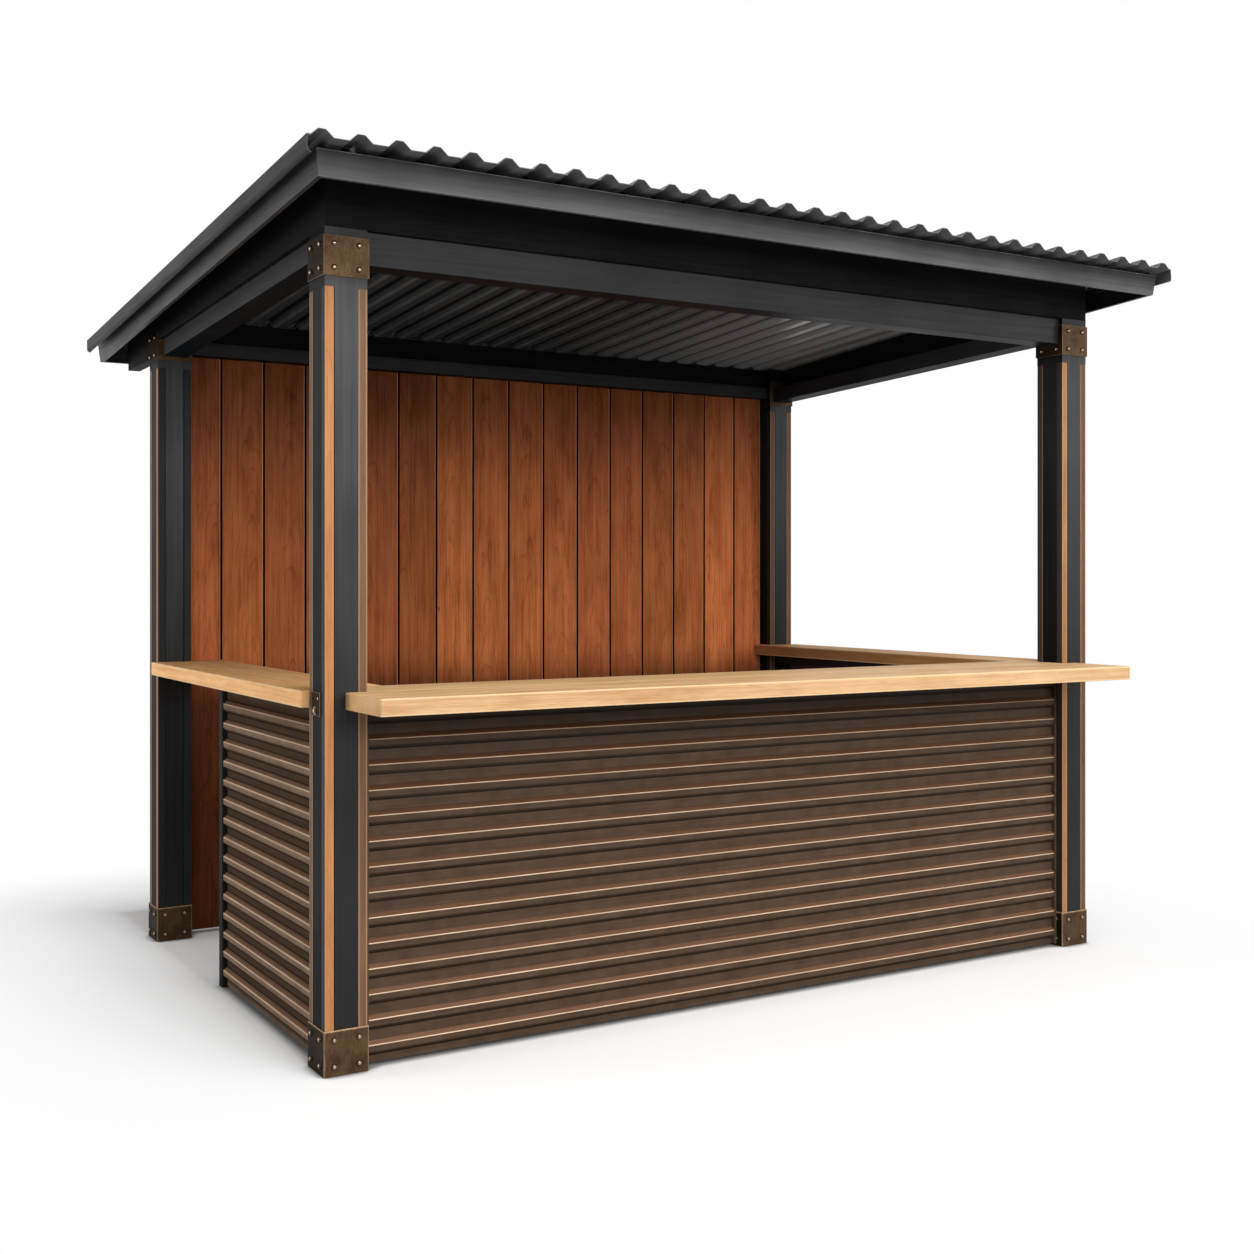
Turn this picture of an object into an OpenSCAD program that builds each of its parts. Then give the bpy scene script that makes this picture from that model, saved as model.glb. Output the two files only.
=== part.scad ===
// Open-fronted market stall: four boxed posts, a counter on three sides, a boarded back wall
// and a mono-pitch roof of trapezoidal sheet. Millimetres, +Z up, front towards -Y.

/* [Frame] */
// Width over the outer faces of the posts
frame_w = 3000; // [2600:10:3400]
// Depth over the outer faces of the posts
frame_d = 1950; // [1700:10:2300]
// Side of a square post
post_w = 125; // [110:1:140]
// Height of the roof sheet's underside above the front faces of the posts
roof_h = 2493; // [2420:1:2700]
// Fall of the roof towards the back, in degrees
roof_pitch = 3.75; // [2.5:0.05:4.5]
// Fall of the side lintels towards the back, in degrees
side_fall = 2.1; // [0:0.05:2.5]
// Thickness of the front beam and the side beams
beam_t = 45; // [35:1:55]
// Height of the front beam at its front face
front_beam_h = 143; // [120:1:160]
// Gap between a side beam's tail and the back fascia
tail_gap = 12; // [5:1:40]
// Distance of the lintels from the post faces
lintel_inset = 18; // [10:1:25]
// Height of the front lintel
front_lintel_h = 94; // [70:1:110]
// Height of a side lintel
side_lintel_h = 63; // [45:1:75]
// Height of the back lintel
back_lintel_h = 52; // [40:1:60]
// Height of the back beam between the back lintel and the sheet
back_beam_h = 77; // [60:1:90]
// Thickness of the back beam
back_beam_t = 55; // [40:1:70]

/* [Posts] */
// Side of a timber corner strip
strip_w = 27; // [20:1:32]
// Width and depth of the shadow groove beside a corner strip
groove = 2; // [1:0.5:3]
// Bare stretch of post between the corner strips and the top bracket
strip_gap = 29; // [15:1:40]
// Height of a post boot
boot_h = 127; // [100:1:150]
// Wall of a post boot
boot_t = 4; // [3:0.5:6]
// Base plate of a post boot
boot_plate = 6; // [4:1:10]
// Height of a top bracket
bracket_h = 111; // [90:1:120]
// Plate of a top bracket
bracket_t = 4; // [3:0.5:6]
// Distance of a front bracket below the front beam
front_bracket_set = 24; // [10:1:30]
// Distance of a back bracket below the roof sheet
back_bracket_set = 50; // [30:1:60]

/* [Roof] */
// Distance of the front fascia's lower edge from the post faces
fascia_front = 229; // [200:1:260]
// Distance of the back fascia's lower edge from the post faces
fascia_back = 396; // [300:1:440]
// Distance of a side fascia's lower edge from the post faces
fascia_side = 100; // [80:1:130]
// Reach of the sheet beyond the front fascia's lower edge
front_lip = 46; // [25:1:80]
// Reach of the sheet beyond the back fascia's lower edge
back_lip = 34; // [25:1:80]
// Reach of the sheet beyond a side fascia's lower edge
side_lip = 44; // [35:1:60]
// Number of ribs in the sheet
rib_n = 31; // [25:1:37]
// Height of a rib
rib_h = 20; // [15:1:26]
// Flat width on top of a rib
rib_crown = 20; // [14:1:26]
// Width of a rib at its foot
rib_base = 63; // [50:1:72]
// Flat edge of the sheet outside the last rib
edge_flat = 8; // [6:1:14]
// Thickness of the roof sheet and its flashings
sheet_t = 2; // [1.5:0.1:3]
// Height of a fascia's face
fascia_h = 70; // [55:1:85]
// Outward lean of a fascia's face over its height
fascia_lean = 8; // [0:1:15]
// Shadow gap between a fascia's face and the sheet
fascia_gap = 17; // [8:1:25]
// Depth of the shadow gap
fascia_step = 14; // [8:1:20]
// Width of a fascia's fixing flange under the sheet
fascia_flange = 24; // [16:1:30]
// Width of a fascia's inward lip at the bottom
fascia_lip = 14; // [8:1:20]
// Plate of a fascia
fascia_t = 3; // [2:0.5:4]
// Height of the upright face of a barge flashing
barge_h = 37; // [30:1:45]
// Radius of a barge flashing's curled lower edge
barge_r = 12; // [8:1:16]

/* [Worktops] */
// Height of the worktop surface
top_z = 1060; // [1000:1:1120]
// Thickness of a worktop
top_t = 48; // [38:1:60]
// Reach of the front worktop in front of the posts
front_top_out = 261; // [200:1:290]
// Reach of the front worktop behind the posts' front faces
front_top_in = 213; // [170:1:260]
// Distance of the front worktop's ends from the posts' outer faces
front_top_end = 60; // [30:1:100]
// Reach of a side worktop outside the posts
side_top_out = 24; // [10:1:50]
// Reach of the left worktop inside the posts' outer faces
left_top_in = 256; // [200:1:300]
// Reach of the right worktop inside the posts' outer faces
right_top_in = 166; // [155:1:300]
// Width of the fixing plate beside the left worktop's end
plate_w = 66; // [50:1:70]
// Height of the fixing plate
plate_h = 66; // [50:1:90]
// Thickness of the fixing plate
plate_t = 4; // [3:0.5:6]

/* [Cladding] */
// Distance of the cladding ridges from the post faces
clad_inset = 27; // [15:1:35]
// Depth of the cladding ridges
clad_depth = 13; // [8:1:18]
// Thickness of the cladding sheet
clad_t = 2; // [1.5:0.1:3]
// Ridge spacing of the front cladding
front_pitch = 72; // [60:1:85]
// Ridge spacing of the side cladding
side_pitch = 64; // [60:1:85]
// Flat width of a ridge
ridge_w = 17; // [12:1:22]
// Width of a ridge's sloping flank
flank_w = 12; // [6:1:14]
// Gap between the cladding and the floor
clad_gap = 8; // [4:1:15]
// Height of the lowest ridge's upper edge above the floor
first_ridge = 59; // [52:1:80]
// Least height of the plain band under the worktop
top_flat = 60; // [30:1:100]
// Length of the left cladding, from the front post to the doorway
left_clad_len = 970; // [800:10:1100]
// Width of an edge trim
trim_w = 10; // [6:1:16]
// Stand-out of an edge trim in front of the ridges
trim_out = 3; // [2:1:6]
// Side of a counter frame bar
bar_w = 40; // [30:1:45]
// Number of bays between the front studs
front_bays = 5; // [4:1:7]
// Number of bays between the left studs
left_bays = 2; // [1:1:3]
// Number of bays between the right studs
right_bays = 3; // [2:1:5]

/* [Back wall] */
// Width of a board
board_w = 170.8; // [140:0.1:200]
// Width of the first board at the left, cut to fit
first_board = 137; // [90:1:170]
// Number of boards to the left of the wide ones
wide_start = 3; // [1:1:6]
// Number of wide boards
wide_n = 2; // [0:1:3]
// Extra width of a wide board
wide_extra = 31; // [10:1:40]
// Thickness of the boards
board_t = 22; // [18:1:28]
// Width of the seam between boards
seam_w = 4; // [2:0.5:6]
// Depth of the seam in each face
seam_depth = 7; // [4:0.5:8]
// Thickness of the battens behind the boards
batten_t = 28; // [20:1:30]
// Height of a batten
batten_h = 70; // [50:1:100]
// Number of battens
batten_n = 3; // [2:1:4]
// Gap between the boards and the floor
wall_gap = 12; // [5:1:30]

/* [Hidden] */

$fn = 48;
paint_dark = "#2b2d2f";
paint_roof = "#4a4b4b";
bronze = "#5b4a3a";
timber = "#b9793f";
oak = "#d9b27c";
redwood = "#8a452b";

// Plan: the origin lies under the middle of the roof.
half_w = frame_w / 2;
front_over = fascia_front + front_lip;
back_over = fascia_back + back_lip;
roof_d = front_over + frame_d + back_over;
front_y = front_over - roof_d / 2;
back_y = front_y + frame_d;
post_x = half_w - post_w / 2;
front_post_y = front_y + post_w / 2;
back_post_y = back_y - post_w / 2;
inner_x = half_w - post_w;
front_inner_y = front_y + post_w;
back_inner_y = back_y - post_w;

// Heights that follow the roof's underside.
function roof_z(y) = roof_h - (y - front_y) * tan(roof_pitch);
front_beam_z = roof_z(front_y) - front_beam_h;
function side_z(y) = front_beam_z - (y - front_y) * tan(side_fall);
back_lintel_z = roof_z(back_y) - back_beam_h - back_lintel_h;
front_bracket_z = front_beam_z - front_bracket_set - bracket_h;
back_bracket_z = roof_z(back_y) - back_bracket_set - bracket_h;
top_under = top_z - top_t;

// The sheet lies along the slope: its ends are square to it, and its corners fill the plan.
sheet_half = half_w + fascia_side + side_lip;
rib_first = rib_base / 2 + edge_flat - sheet_half;
rib_pitch = -2 * rib_first / (rib_n - 1);
crown_top = rib_h + sheet_t;
barge_top = 2 * sheet_t;
barge_foot = barge_top - barge_h - barge_r;
sheet_y = -roof_d / 2 - barge_foot * sin(roof_pitch);
sheet_len = (roof_d - (crown_top - barge_foot) * sin(roof_pitch)) / cos(roof_pitch);

// Cladding planes, measured inwards from the post faces.
clad_back = clad_inset + clad_depth + clad_t;
clad_h = top_under - clad_gap;
bay_x = inner_x - boot_t;
bay_front = front_inner_y + boot_t;
bay_back = back_inner_y - boot_t;
left_end = bay_front + left_clad_len;

// Back wall planes.
wall_back = back_y - batten_t;
wall_front = wall_back - board_t;
seam_n = floor((2 * inner_x - first_board - wide_n * wide_extra) / board_w);
function wide_before(i) = min(max(i + 1 - wide_start, 0), wide_n);
function seam_x(i) = first_board + i * board_w + wide_before(i) * wide_extra - inner_x;

function reversed(list) = [for (i = [len(list) - 1:-1:0]) list[i]];
function lifted(list, h) = [for (p = list) [p.x, p.y + h]];
function quarter_turns(list, n) = n == 0 ? list : quarter_turns([for (p = list) [-p.y, p.x]], n - 1);
function arc(cx, cy, r, from, to, steps) =
    [for (i = [0:steps]) let (a = from + (to - from) * i / steps) [cx + r * cos(a), cy + r * sin(a)]];

// A section drawn in Y and Z, run along X.
module along_x(x, length) {
    translate([x, 0, 0]) rotate([90, 0, 90]) linear_extrude(length) children();
}

// A section drawn in X and Z, run along Y.
module along_y(y, length) {
    translate([0, y + length, 0]) rotate([90, 0, 0]) linear_extrude(length) children();
}

// Children drawn on a level plane are laid on the roof's slope.
module on_slope() {
    translate([0, sheet_y, roof_z(sheet_y)]) rotate([-roof_pitch, 0, 0]) children();
}

// A block given by its lowest and highest corners.
module block(low, high) {
    translate(low) cube(high - low);
}

// Plan of a boxed post: a rebate at each corner for its strip, and a groove beside the strip.
module post_plan() {
    h = post_w / 2;
    r = h - strip_w;
    corner = [[h, r - groove], [h - groove, r - groove], [h - groove, r], [r, r],
              [r, h - groove], [r - groove, h - groove], [r - groove, h]];
    polygon([for (k = [0:3]) each quarter_turns(corner, k)]);
}

// A post from its boot plate to the sheet, housed for the beams that lie on its outer faces.
module post(side, y, strip_top) {
    color(paint_dark) difference() {
        intersection() {
            translate([side * post_x, y, 0]) union() {
                translate([0, 0, boot_plate]) linear_extrude(strip_top - boot_plate) post_plan();
                translate([-post_w / 2, -post_w / 2, strip_top]) cube([post_w, post_w, roof_h]);
            }
            along_x(-half_w, frame_w) polygon([
                [front_y, 0], [back_y, 0], [back_y, roof_z(back_y)], [front_y, roof_z(front_y)],
            ]);
        }
        front_beam_solid();
        side_beam_solid(side);
    }
}

module strips(side, y, strip_top) {
    reach = post_w / 2 - strip_w;
    color(timber) translate([side * post_x, y, boot_plate])
        for (a = [0:90:270])
            rotate([0, 0, a]) translate([reach, reach, 0]) cube([strip_w, strip_w, strip_top - boot_plate]);
}

module boot(side, y) {
    outer = post_w + 2 * boot_t;
    color(bronze) translate([side * post_x, y, 0]) difference() {
        translate([-outer / 2, -outer / 2, 0]) cube([outer, outer, boot_h]);
        translate([-post_w / 2, -post_w / 2, boot_plate]) cube([post_w, post_w, boot_h]);
    }
}

// A square collar round the post's head, cut where beams and lintels run into the post.
module bracket(side, y, z) {
    outer = post_w + 2 * bracket_t;
    color(bronze) difference() {
        translate([side * post_x, y, z]) difference() {
            translate([-outer / 2, -outer / 2, 0]) cube([outer, outer, bracket_h]);
            translate([-post_w / 2, -post_w / 2, -1]) cube([post_w, post_w, bracket_h + 2]);
        }
        front_lintel_solid();
        back_lintel_solid();
        back_beam_solid();
        side_lintel_solid(side);
        side_beam_solid(side);
    }
}

module front_beam_solid() {
    along_x(-half_w, frame_w) polygon([
        [front_y, front_beam_z], [front_y + beam_t, front_beam_z],
        [front_y + beam_t, roof_z(front_y + beam_t)], [front_y, roof_z(front_y)],
    ]);
}

// A side beam fills the wedge between the lintel's line and the sheet. Behind the post its tail is deeper.
module side_beam_solid(side) {
    x = side < 0 ? -half_w : half_w - beam_t;
    y0 = front_y + beam_t;
    y1 = back_y + fascia_back + fascia_lean - fascia_step - fascia_flange - tail_gap;
    tail_z = side_z(back_inner_y) - side_lintel_h;
    along_x(x, beam_t) polygon([
        [y0, side_z(y0)], [back_y, side_z(back_y)], [back_y, tail_z], [y1, tail_z],
        [y1, roof_z(y1)], [y0, roof_z(y0)],
    ]);
}

module back_beam_solid() {
    y0 = back_post_y - back_beam_t / 2;
    y1 = back_post_y + back_beam_t / 2;
    z = back_lintel_z + back_lintel_h;
    along_x(-inner_x, 2 * inner_x) polygon([[y0, z], [y1, z], [y1, roof_z(y1)], [y0, roof_z(y0)]]);
}

module front_lintel_solid() {
    block([-inner_x, front_y + lintel_inset, front_beam_z - front_lintel_h],
          [inner_x, front_inner_y - lintel_inset, front_beam_z]);
}

module back_lintel_solid() {
    block([-inner_x, back_inner_y + lintel_inset, back_lintel_z],
          [inner_x, back_y - lintel_inset, back_lintel_z + back_lintel_h]);
}

module side_lintel_solid(side) {
    x = side < 0 ? -half_w + lintel_inset : inner_x + lintel_inset;
    z0 = side_z(front_inner_y);
    z1 = side_z(back_inner_y);
    along_x(x, post_w - 2 * lintel_inset) polygon([
        [front_inner_y, z0 - side_lintel_h], [back_inner_y, z1 - side_lintel_h],
        [back_inner_y, z1], [front_inner_y, z0],
    ]);
}

// Underside of the ribbed sheet from edge to edge: a flat edge, then ribs at equal spacing.
function sheet_line() = concat(
    [[-sheet_half, 0]],
    [for (i = [0:rib_n - 1]) let (x = rib_first + i * rib_pitch)
        each [[x - rib_base / 2, 0], [x - rib_crown / 2, rib_h],
              [x + rib_crown / 2, rib_h], [x + rib_base / 2, 0]]],
    [[sheet_half, 0]]
);

module roof_sheet() {
    line = sheet_line();
    color(paint_roof) on_slope() along_y(0, sheet_len)
        polygon(concat(line, reversed(lifted(line, sheet_t))));
}

// Folded edge flashing: a flange on the sheet's flat edge, an upright face and a curled lower edge.
module barge(side) {
    face = sheet_half + sheet_t;
    foot = barge_top - barge_h;
    outline = concat(
        [[sheet_half - edge_flat, barge_top], [face, barge_top]],
        arc(face - barge_r, foot, barge_r, 0, -90, 8),
        arc(face - barge_r, foot, barge_r - sheet_t, -90, 0, 8),
        [[sheet_half, barge_top - sheet_t], [sheet_half - edge_flat, barge_top - sheet_t]]
    );
    color(paint_roof) on_slope() along_y(0, sheet_len)
        polygon(side > 0 ? outline : [for (p = reversed(outline)) [-p.x, p.y]]);
}

// Section of a folded fascia: how far out from its lower edge, and how far under the sheet. A leaning
// face with a lip, a step back that leaves a shadow gap, and a flange fixed under the sheet.
fascia_foot = -fascia_gap - fascia_h;
fascia_back_x = fascia_lean - fascia_step;
fascia_section = [
    [0, fascia_foot], [fascia_lean, -fascia_gap], [fascia_back_x, -fascia_gap], [fascia_back_x, 0],
    [fascia_back_x - fascia_flange, 0], [fascia_back_x - fascia_flange, -fascia_t],
    [fascia_back_x - fascia_t, -fascia_t], [fascia_back_x - fascia_t, -fascia_gap - fascia_t],
    [fascia_lean - fascia_t, -fascia_gap - fascia_t], [-fascia_t, fascia_foot + fascia_t],
    [-fascia_lip, fascia_foot + fascia_t], [-fascia_lip, fascia_foot],
];

// Plan outlines of the fascias meet on the diagonals of their corners.
fascia_x = half_w + fascia_side;
fascia_y0 = front_y - fascia_front;
fascia_y1 = back_y + fascia_back;
mitre = fascia_lean;
mitre_in = fascia_step + fascia_flange + fascia_lip;

module mitred(corner_a, corner_b, out) {
    linear_extrude(roof_h + front_over) polygon([
        corner_a + mitre * out[0], corner_b + mitre * out[1],
        corner_b - mitre_in * out[1], corner_a - mitre_in * out[0],
    ]);
}

// The front fascia (end -1) or the back fascia (end 1), level and cut to the mitres.
module end_fascia(end) {
    y = end < 0 ? fascia_y0 : fascia_y1;
    section = [for (p = fascia_section) [y + end * p.x, roof_z(y + end * p.x) + p.y]];
    color(paint_roof) intersection() {
        along_x(-fascia_x - mitre, 2 * (fascia_x + mitre)) polygon(end < 0 ? reversed(section) : section);
        mitred([-fascia_x, y], [fascia_x, y], [[-1, end], [1, end]]);
    }
}

// A side fascia follows the slope and is cut to the same mitres.
module side_fascia(side) {
    section = [for (p = fascia_section) [side * (fascia_x + p.x), p.y * cos(roof_pitch)]];
    color(paint_roof) intersection() {
        on_slope() along_y(0, sheet_len) polygon(side < 0 ? reversed(section) : section);
        mitred([side * fascia_x, fascia_y0], [side * fascia_x, fascia_y1], [[side, -1], [side, 1]]);
    }
}

module front_worktop() {
    end_x = half_w - front_top_end;
    color(oak) translate([0, 0, top_under]) linear_extrude(top_t) polygon([
        [-end_x, front_y - front_top_out], [end_x, front_y - front_top_out],
        [end_x, front_y], [inner_x, front_y],
        [inner_x, front_y + front_top_in], [-inner_x, front_y + front_top_in],
        [-inner_x, front_y], [-end_x, front_y],
    ]);
}

// A side worktop lies between the posts, and inside them it runs from the front worktop to the boards.
module side_worktop(side, reach) {
    outline = [
        [half_w + side_top_out, front_inner_y], [half_w + side_top_out, back_inner_y],
        [inner_x, back_inner_y], [inner_x, wall_front],
        [half_w - reach, wall_front], [half_w - reach, front_y + front_top_in],
        [inner_x, front_y + front_top_in], [inner_x, front_inner_y],
    ];
    color(oak) translate([0, 0, top_under]) linear_extrude(top_t)
        polygon(side > 0 ? outline : [for (p = reversed(outline)) [-p.x, p.y]]);
}

// Fixing plate on the outer face of the front left post, level with the worktop's end.
module worktop_plate() {
    color(bronze) block([-half_w - plate_t, front_post_y - plate_w / 2, top_z - plate_h],
                        [-half_w, front_post_y + plate_w / 2, top_z]);
}

// Outer line of the ridged cladding, as depth and height: ridges at equal spacing from the floor up.
function clad_line(pitch) =
    let (
        ridge_h = ridge_w + 2 * flank_w,
        first = first_ridge + flank_w - ridge_h - clad_gap,
        last = floor((clad_h - top_flat - ridge_h - first) / pitch)
    )
    concat(
        [[clad_depth, 0]],
        [for (i = [0:last]) let (z = first + i * pitch)
            each [[clad_depth, z], [0, z + flank_w], [0, z + flank_w + ridge_w], [clad_depth, z + ridge_h]]],
        [[clad_depth, clad_h]]
    );

// Ridged sheet as a section: depth away from the post face, and height above the floor.
function clad_section(pitch) =
    let (line = [for (p = clad_line(pitch)) [clad_inset + p.x, clad_gap + p.y]])
    concat(line, reversed([for (p = line) [p.x + clad_t, p.y]]));

module front_cladding() {
    x = bay_x - trim_w;
    color(bronze) translate([0, front_y, 0]) along_x(-x, 2 * x) polygon(clad_section(front_pitch));
}

module side_cladding(side, y1) {
    section = [for (p = clad_section(side_pitch)) [side * (half_w - p.x), p.y]];
    y0 = bay_front + trim_w;
    color(bronze) along_y(y0, y1 - y0) polygon(side < 0 ? section : reversed(section));
}

// Upright bars that close the ends of the cladding sheets at the posts.
module cladding_trims() {
    out = clad_inset - trim_out;
    color(bronze) {
        for (x = [-bay_x, bay_x - trim_w])
            block([x, front_y + out, clad_gap], [x + trim_w, front_y + clad_back, top_under]);
        block([-half_w + out, bay_front, clad_gap], [-half_w + clad_back, bay_front + trim_w, top_under]);
        for (y = [bay_front, bay_back - trim_w])
            block([half_w - clad_back, y, clad_gap], [half_w - out, y + trim_w, top_under]);
    }
}

// Bottom and top rails of the counter, behind the cladding. The top rails carry the worktops.
module counter_rails() {
    in = clad_back + bar_w;
    color(paint_dark) {
        block([-bay_x, front_y + clad_back, clad_gap], [bay_x, front_y + in, clad_gap + bar_w]);
        block([-inner_x, front_y + clad_back, top_under - bar_w], [inner_x, front_y + in, top_under]);
        block([-half_w + clad_back, bay_front, clad_gap],
              [-half_w + in, left_end - bar_w, clad_gap + bar_w]);
        block([-half_w + clad_back, front_inner_y, top_under - bar_w],
              [-half_w + in, left_end - bar_w, top_under]);
        block([half_w - in, bay_front, clad_gap], [half_w - clad_back, bay_back, clad_gap + bar_w]);
        block([half_w - in, front_inner_y, top_under - bar_w],
              [half_w - clad_back, back_inner_y, top_under]);
    }
}

// A stud between the rails, by its corner.
module stud(x, y) {
    block([x, y, clad_gap + bar_w], [x + bar_w, y + bar_w, top_under - bar_w]);
}

// Studs at the ends and between the bays. The one at the doorway closes the cladding and stands on the floor.
module counter_studs() {
    left_x = -half_w + clad_back;
    left_run = left_end - bar_w - bay_front;
    right_run = bay_back - bar_w - bay_front;
    color(paint_dark) {
        for (i = [0:front_bays])
            stud(-bay_x + i * (2 * bay_x - bar_w) / front_bays, front_y + clad_back);
        for (i = [0:left_bays - 1])
            stud(left_x, bay_front + i * left_run / left_bays);
        block([-half_w + clad_inset - trim_out, left_end - bar_w, 0], [left_x + bar_w, left_end, top_under]);
        for (i = [0:right_bays])
            stud(half_w - clad_back - bar_w, bay_front + i * right_run / right_bays);
    }
}

// Boards as one panel between the back boots, with a seam on each face at every joint.
module back_wall() {
    seam_y = board_t - seam_depth;
    color(redwood) translate([0, wall_front, wall_gap]) difference() {
        translate([-bay_x, 0, 0]) cube([2 * bay_x, board_t, back_lintel_z - wall_gap]);
        for (i = [0:seam_n], y = [-seam_depth, seam_y])
            translate([seam_x(i) - seam_w / 2, y, -1])
                cube([seam_w, 2 * seam_depth, back_lintel_z]);
    }
}

// Level battens behind the boards, between the back posts and clear of their boots.
module back_battens() {
    low = boot_h;
    step = (back_lintel_z - batten_h - low) / batten_n;
    color(paint_dark) for (i = [0:batten_n - 1])
        block([-inner_x, wall_back, low + (i + 0.5) * step],
              [inner_x, back_y, low + (i + 0.5) * step + batten_h]);
}

post(-1, front_post_y, front_bracket_z - strip_gap);  // front_left_post
post(1, front_post_y, front_bracket_z - strip_gap);  // front_right_post
post(-1, back_post_y, back_bracket_z - strip_gap);  // back_left_post
post(1, back_post_y, back_bracket_z - strip_gap);  // back_right_post
strips(-1, front_post_y, front_bracket_z - strip_gap);  // front_left_strips
strips(1, front_post_y, front_bracket_z - strip_gap);  // front_right_strips
strips(-1, back_post_y, back_bracket_z - strip_gap);  // back_left_strips
strips(1, back_post_y, back_bracket_z - strip_gap);  // back_right_strips
boot(-1, front_post_y);  // front_left_boot
boot(1, front_post_y);  // front_right_boot
boot(-1, back_post_y);  // back_left_boot
boot(1, back_post_y);  // back_right_boot
bracket(-1, front_post_y, front_bracket_z);  // front_left_bracket
bracket(1, front_post_y, front_bracket_z);  // front_right_bracket
bracket(-1, back_post_y, back_bracket_z);  // back_left_bracket
bracket(1, back_post_y, back_bracket_z);  // back_right_bracket
color(paint_dark) front_beam_solid();  // front_beam
color(paint_dark) back_beam_solid();  // back_beam
color(paint_dark) side_beam_solid(-1);  // left_beam
color(paint_dark) side_beam_solid(1);  // right_beam
color(paint_dark) front_lintel_solid();  // front_lintel
color(paint_dark) back_lintel_solid();  // back_lintel
color(paint_dark) side_lintel_solid(-1);  // left_lintel
color(paint_dark) side_lintel_solid(1);  // right_lintel
roof_sheet();
end_fascia(-1);  // front_fascia
end_fascia(1);  // back_fascia
side_fascia(-1);  // left_fascia
side_fascia(1);  // right_fascia
barge(-1);  // left_barge
barge(1);  // right_barge
front_worktop();
side_worktop(-1, left_top_in);  // left_worktop
side_worktop(1, right_top_in);  // right_worktop
worktop_plate();
front_cladding();
side_cladding(-1, left_end - bar_w);  // left_cladding
side_cladding(1, bay_back - trim_w);  // right_cladding
cladding_trims();
counter_rails();
counter_studs();
back_wall();
back_battens();
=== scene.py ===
# %% [markdown]
# # An open market stall
# Four boxed posts carry a low roof of ribbed sheet. Oak worktops run round three sides over ribbed
# bronze-brown cladding, and red-brown boards close the back. The solids come packed in metres, with the
# front towards -Y. This lesson keeps them as the frame, adds what a maker would add on top, and gives
# every surface its finish.

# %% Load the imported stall
import math

import bpy
import numpy as np
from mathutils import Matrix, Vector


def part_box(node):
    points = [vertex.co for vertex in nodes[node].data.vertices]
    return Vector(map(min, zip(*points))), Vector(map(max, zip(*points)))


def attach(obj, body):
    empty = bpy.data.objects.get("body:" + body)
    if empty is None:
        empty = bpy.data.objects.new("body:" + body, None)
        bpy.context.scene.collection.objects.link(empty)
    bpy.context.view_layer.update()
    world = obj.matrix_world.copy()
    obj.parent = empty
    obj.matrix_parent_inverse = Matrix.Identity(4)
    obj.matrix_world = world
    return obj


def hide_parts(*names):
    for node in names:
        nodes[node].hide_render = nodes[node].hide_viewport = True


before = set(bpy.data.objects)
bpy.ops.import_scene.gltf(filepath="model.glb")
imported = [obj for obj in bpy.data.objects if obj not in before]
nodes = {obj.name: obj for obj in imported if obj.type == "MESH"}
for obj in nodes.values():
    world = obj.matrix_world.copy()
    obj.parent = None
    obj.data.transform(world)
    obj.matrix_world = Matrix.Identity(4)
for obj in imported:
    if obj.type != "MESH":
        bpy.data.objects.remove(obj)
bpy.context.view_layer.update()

# %% [markdown]
# ## Camera
# The photograph was taken from the front left at about eye height, with the picture plane upright. A camera
# that looks level and is shifted down keeps the posts parallel, as the photograph does, so it is not tilted.

# %% Camera
CAMERA_AT, CAMERA_TURN = (-2.9414, -5.0489, 1.3777), -31.1436
SENSOR, LENS, SHIFT = 36.0, 43.405, -0.0389
scene = bpy.context.scene
scene.view_settings.view_transform = "Standard"
camera = bpy.data.objects.new("camera", bpy.data.cameras.new("camera"))
scene.collection.objects.link(camera)
camera.location = CAMERA_AT
camera.rotation_euler = (math.radians(90), 0, math.radians(CAMERA_TURN))
camera.data.sensor_width = SENSOR
camera.data.lens = LENS
camera.data.shift_y = SHIFT
scene.camera = camera
print("camera at", CAMERA_AT, "turned by", CAMERA_TURN)

# %% [markdown]
# ## Node materials
# Every finish is a small tree of nodes. A class with short methods keeps the trees readable: each method adds
# one node or a few, fills their sockets with numbers or links, and hands back the output that the next node
# reads. All patterns read Object coordinates, which are metres on the stall because every piece sits at the
# origin.


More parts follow.
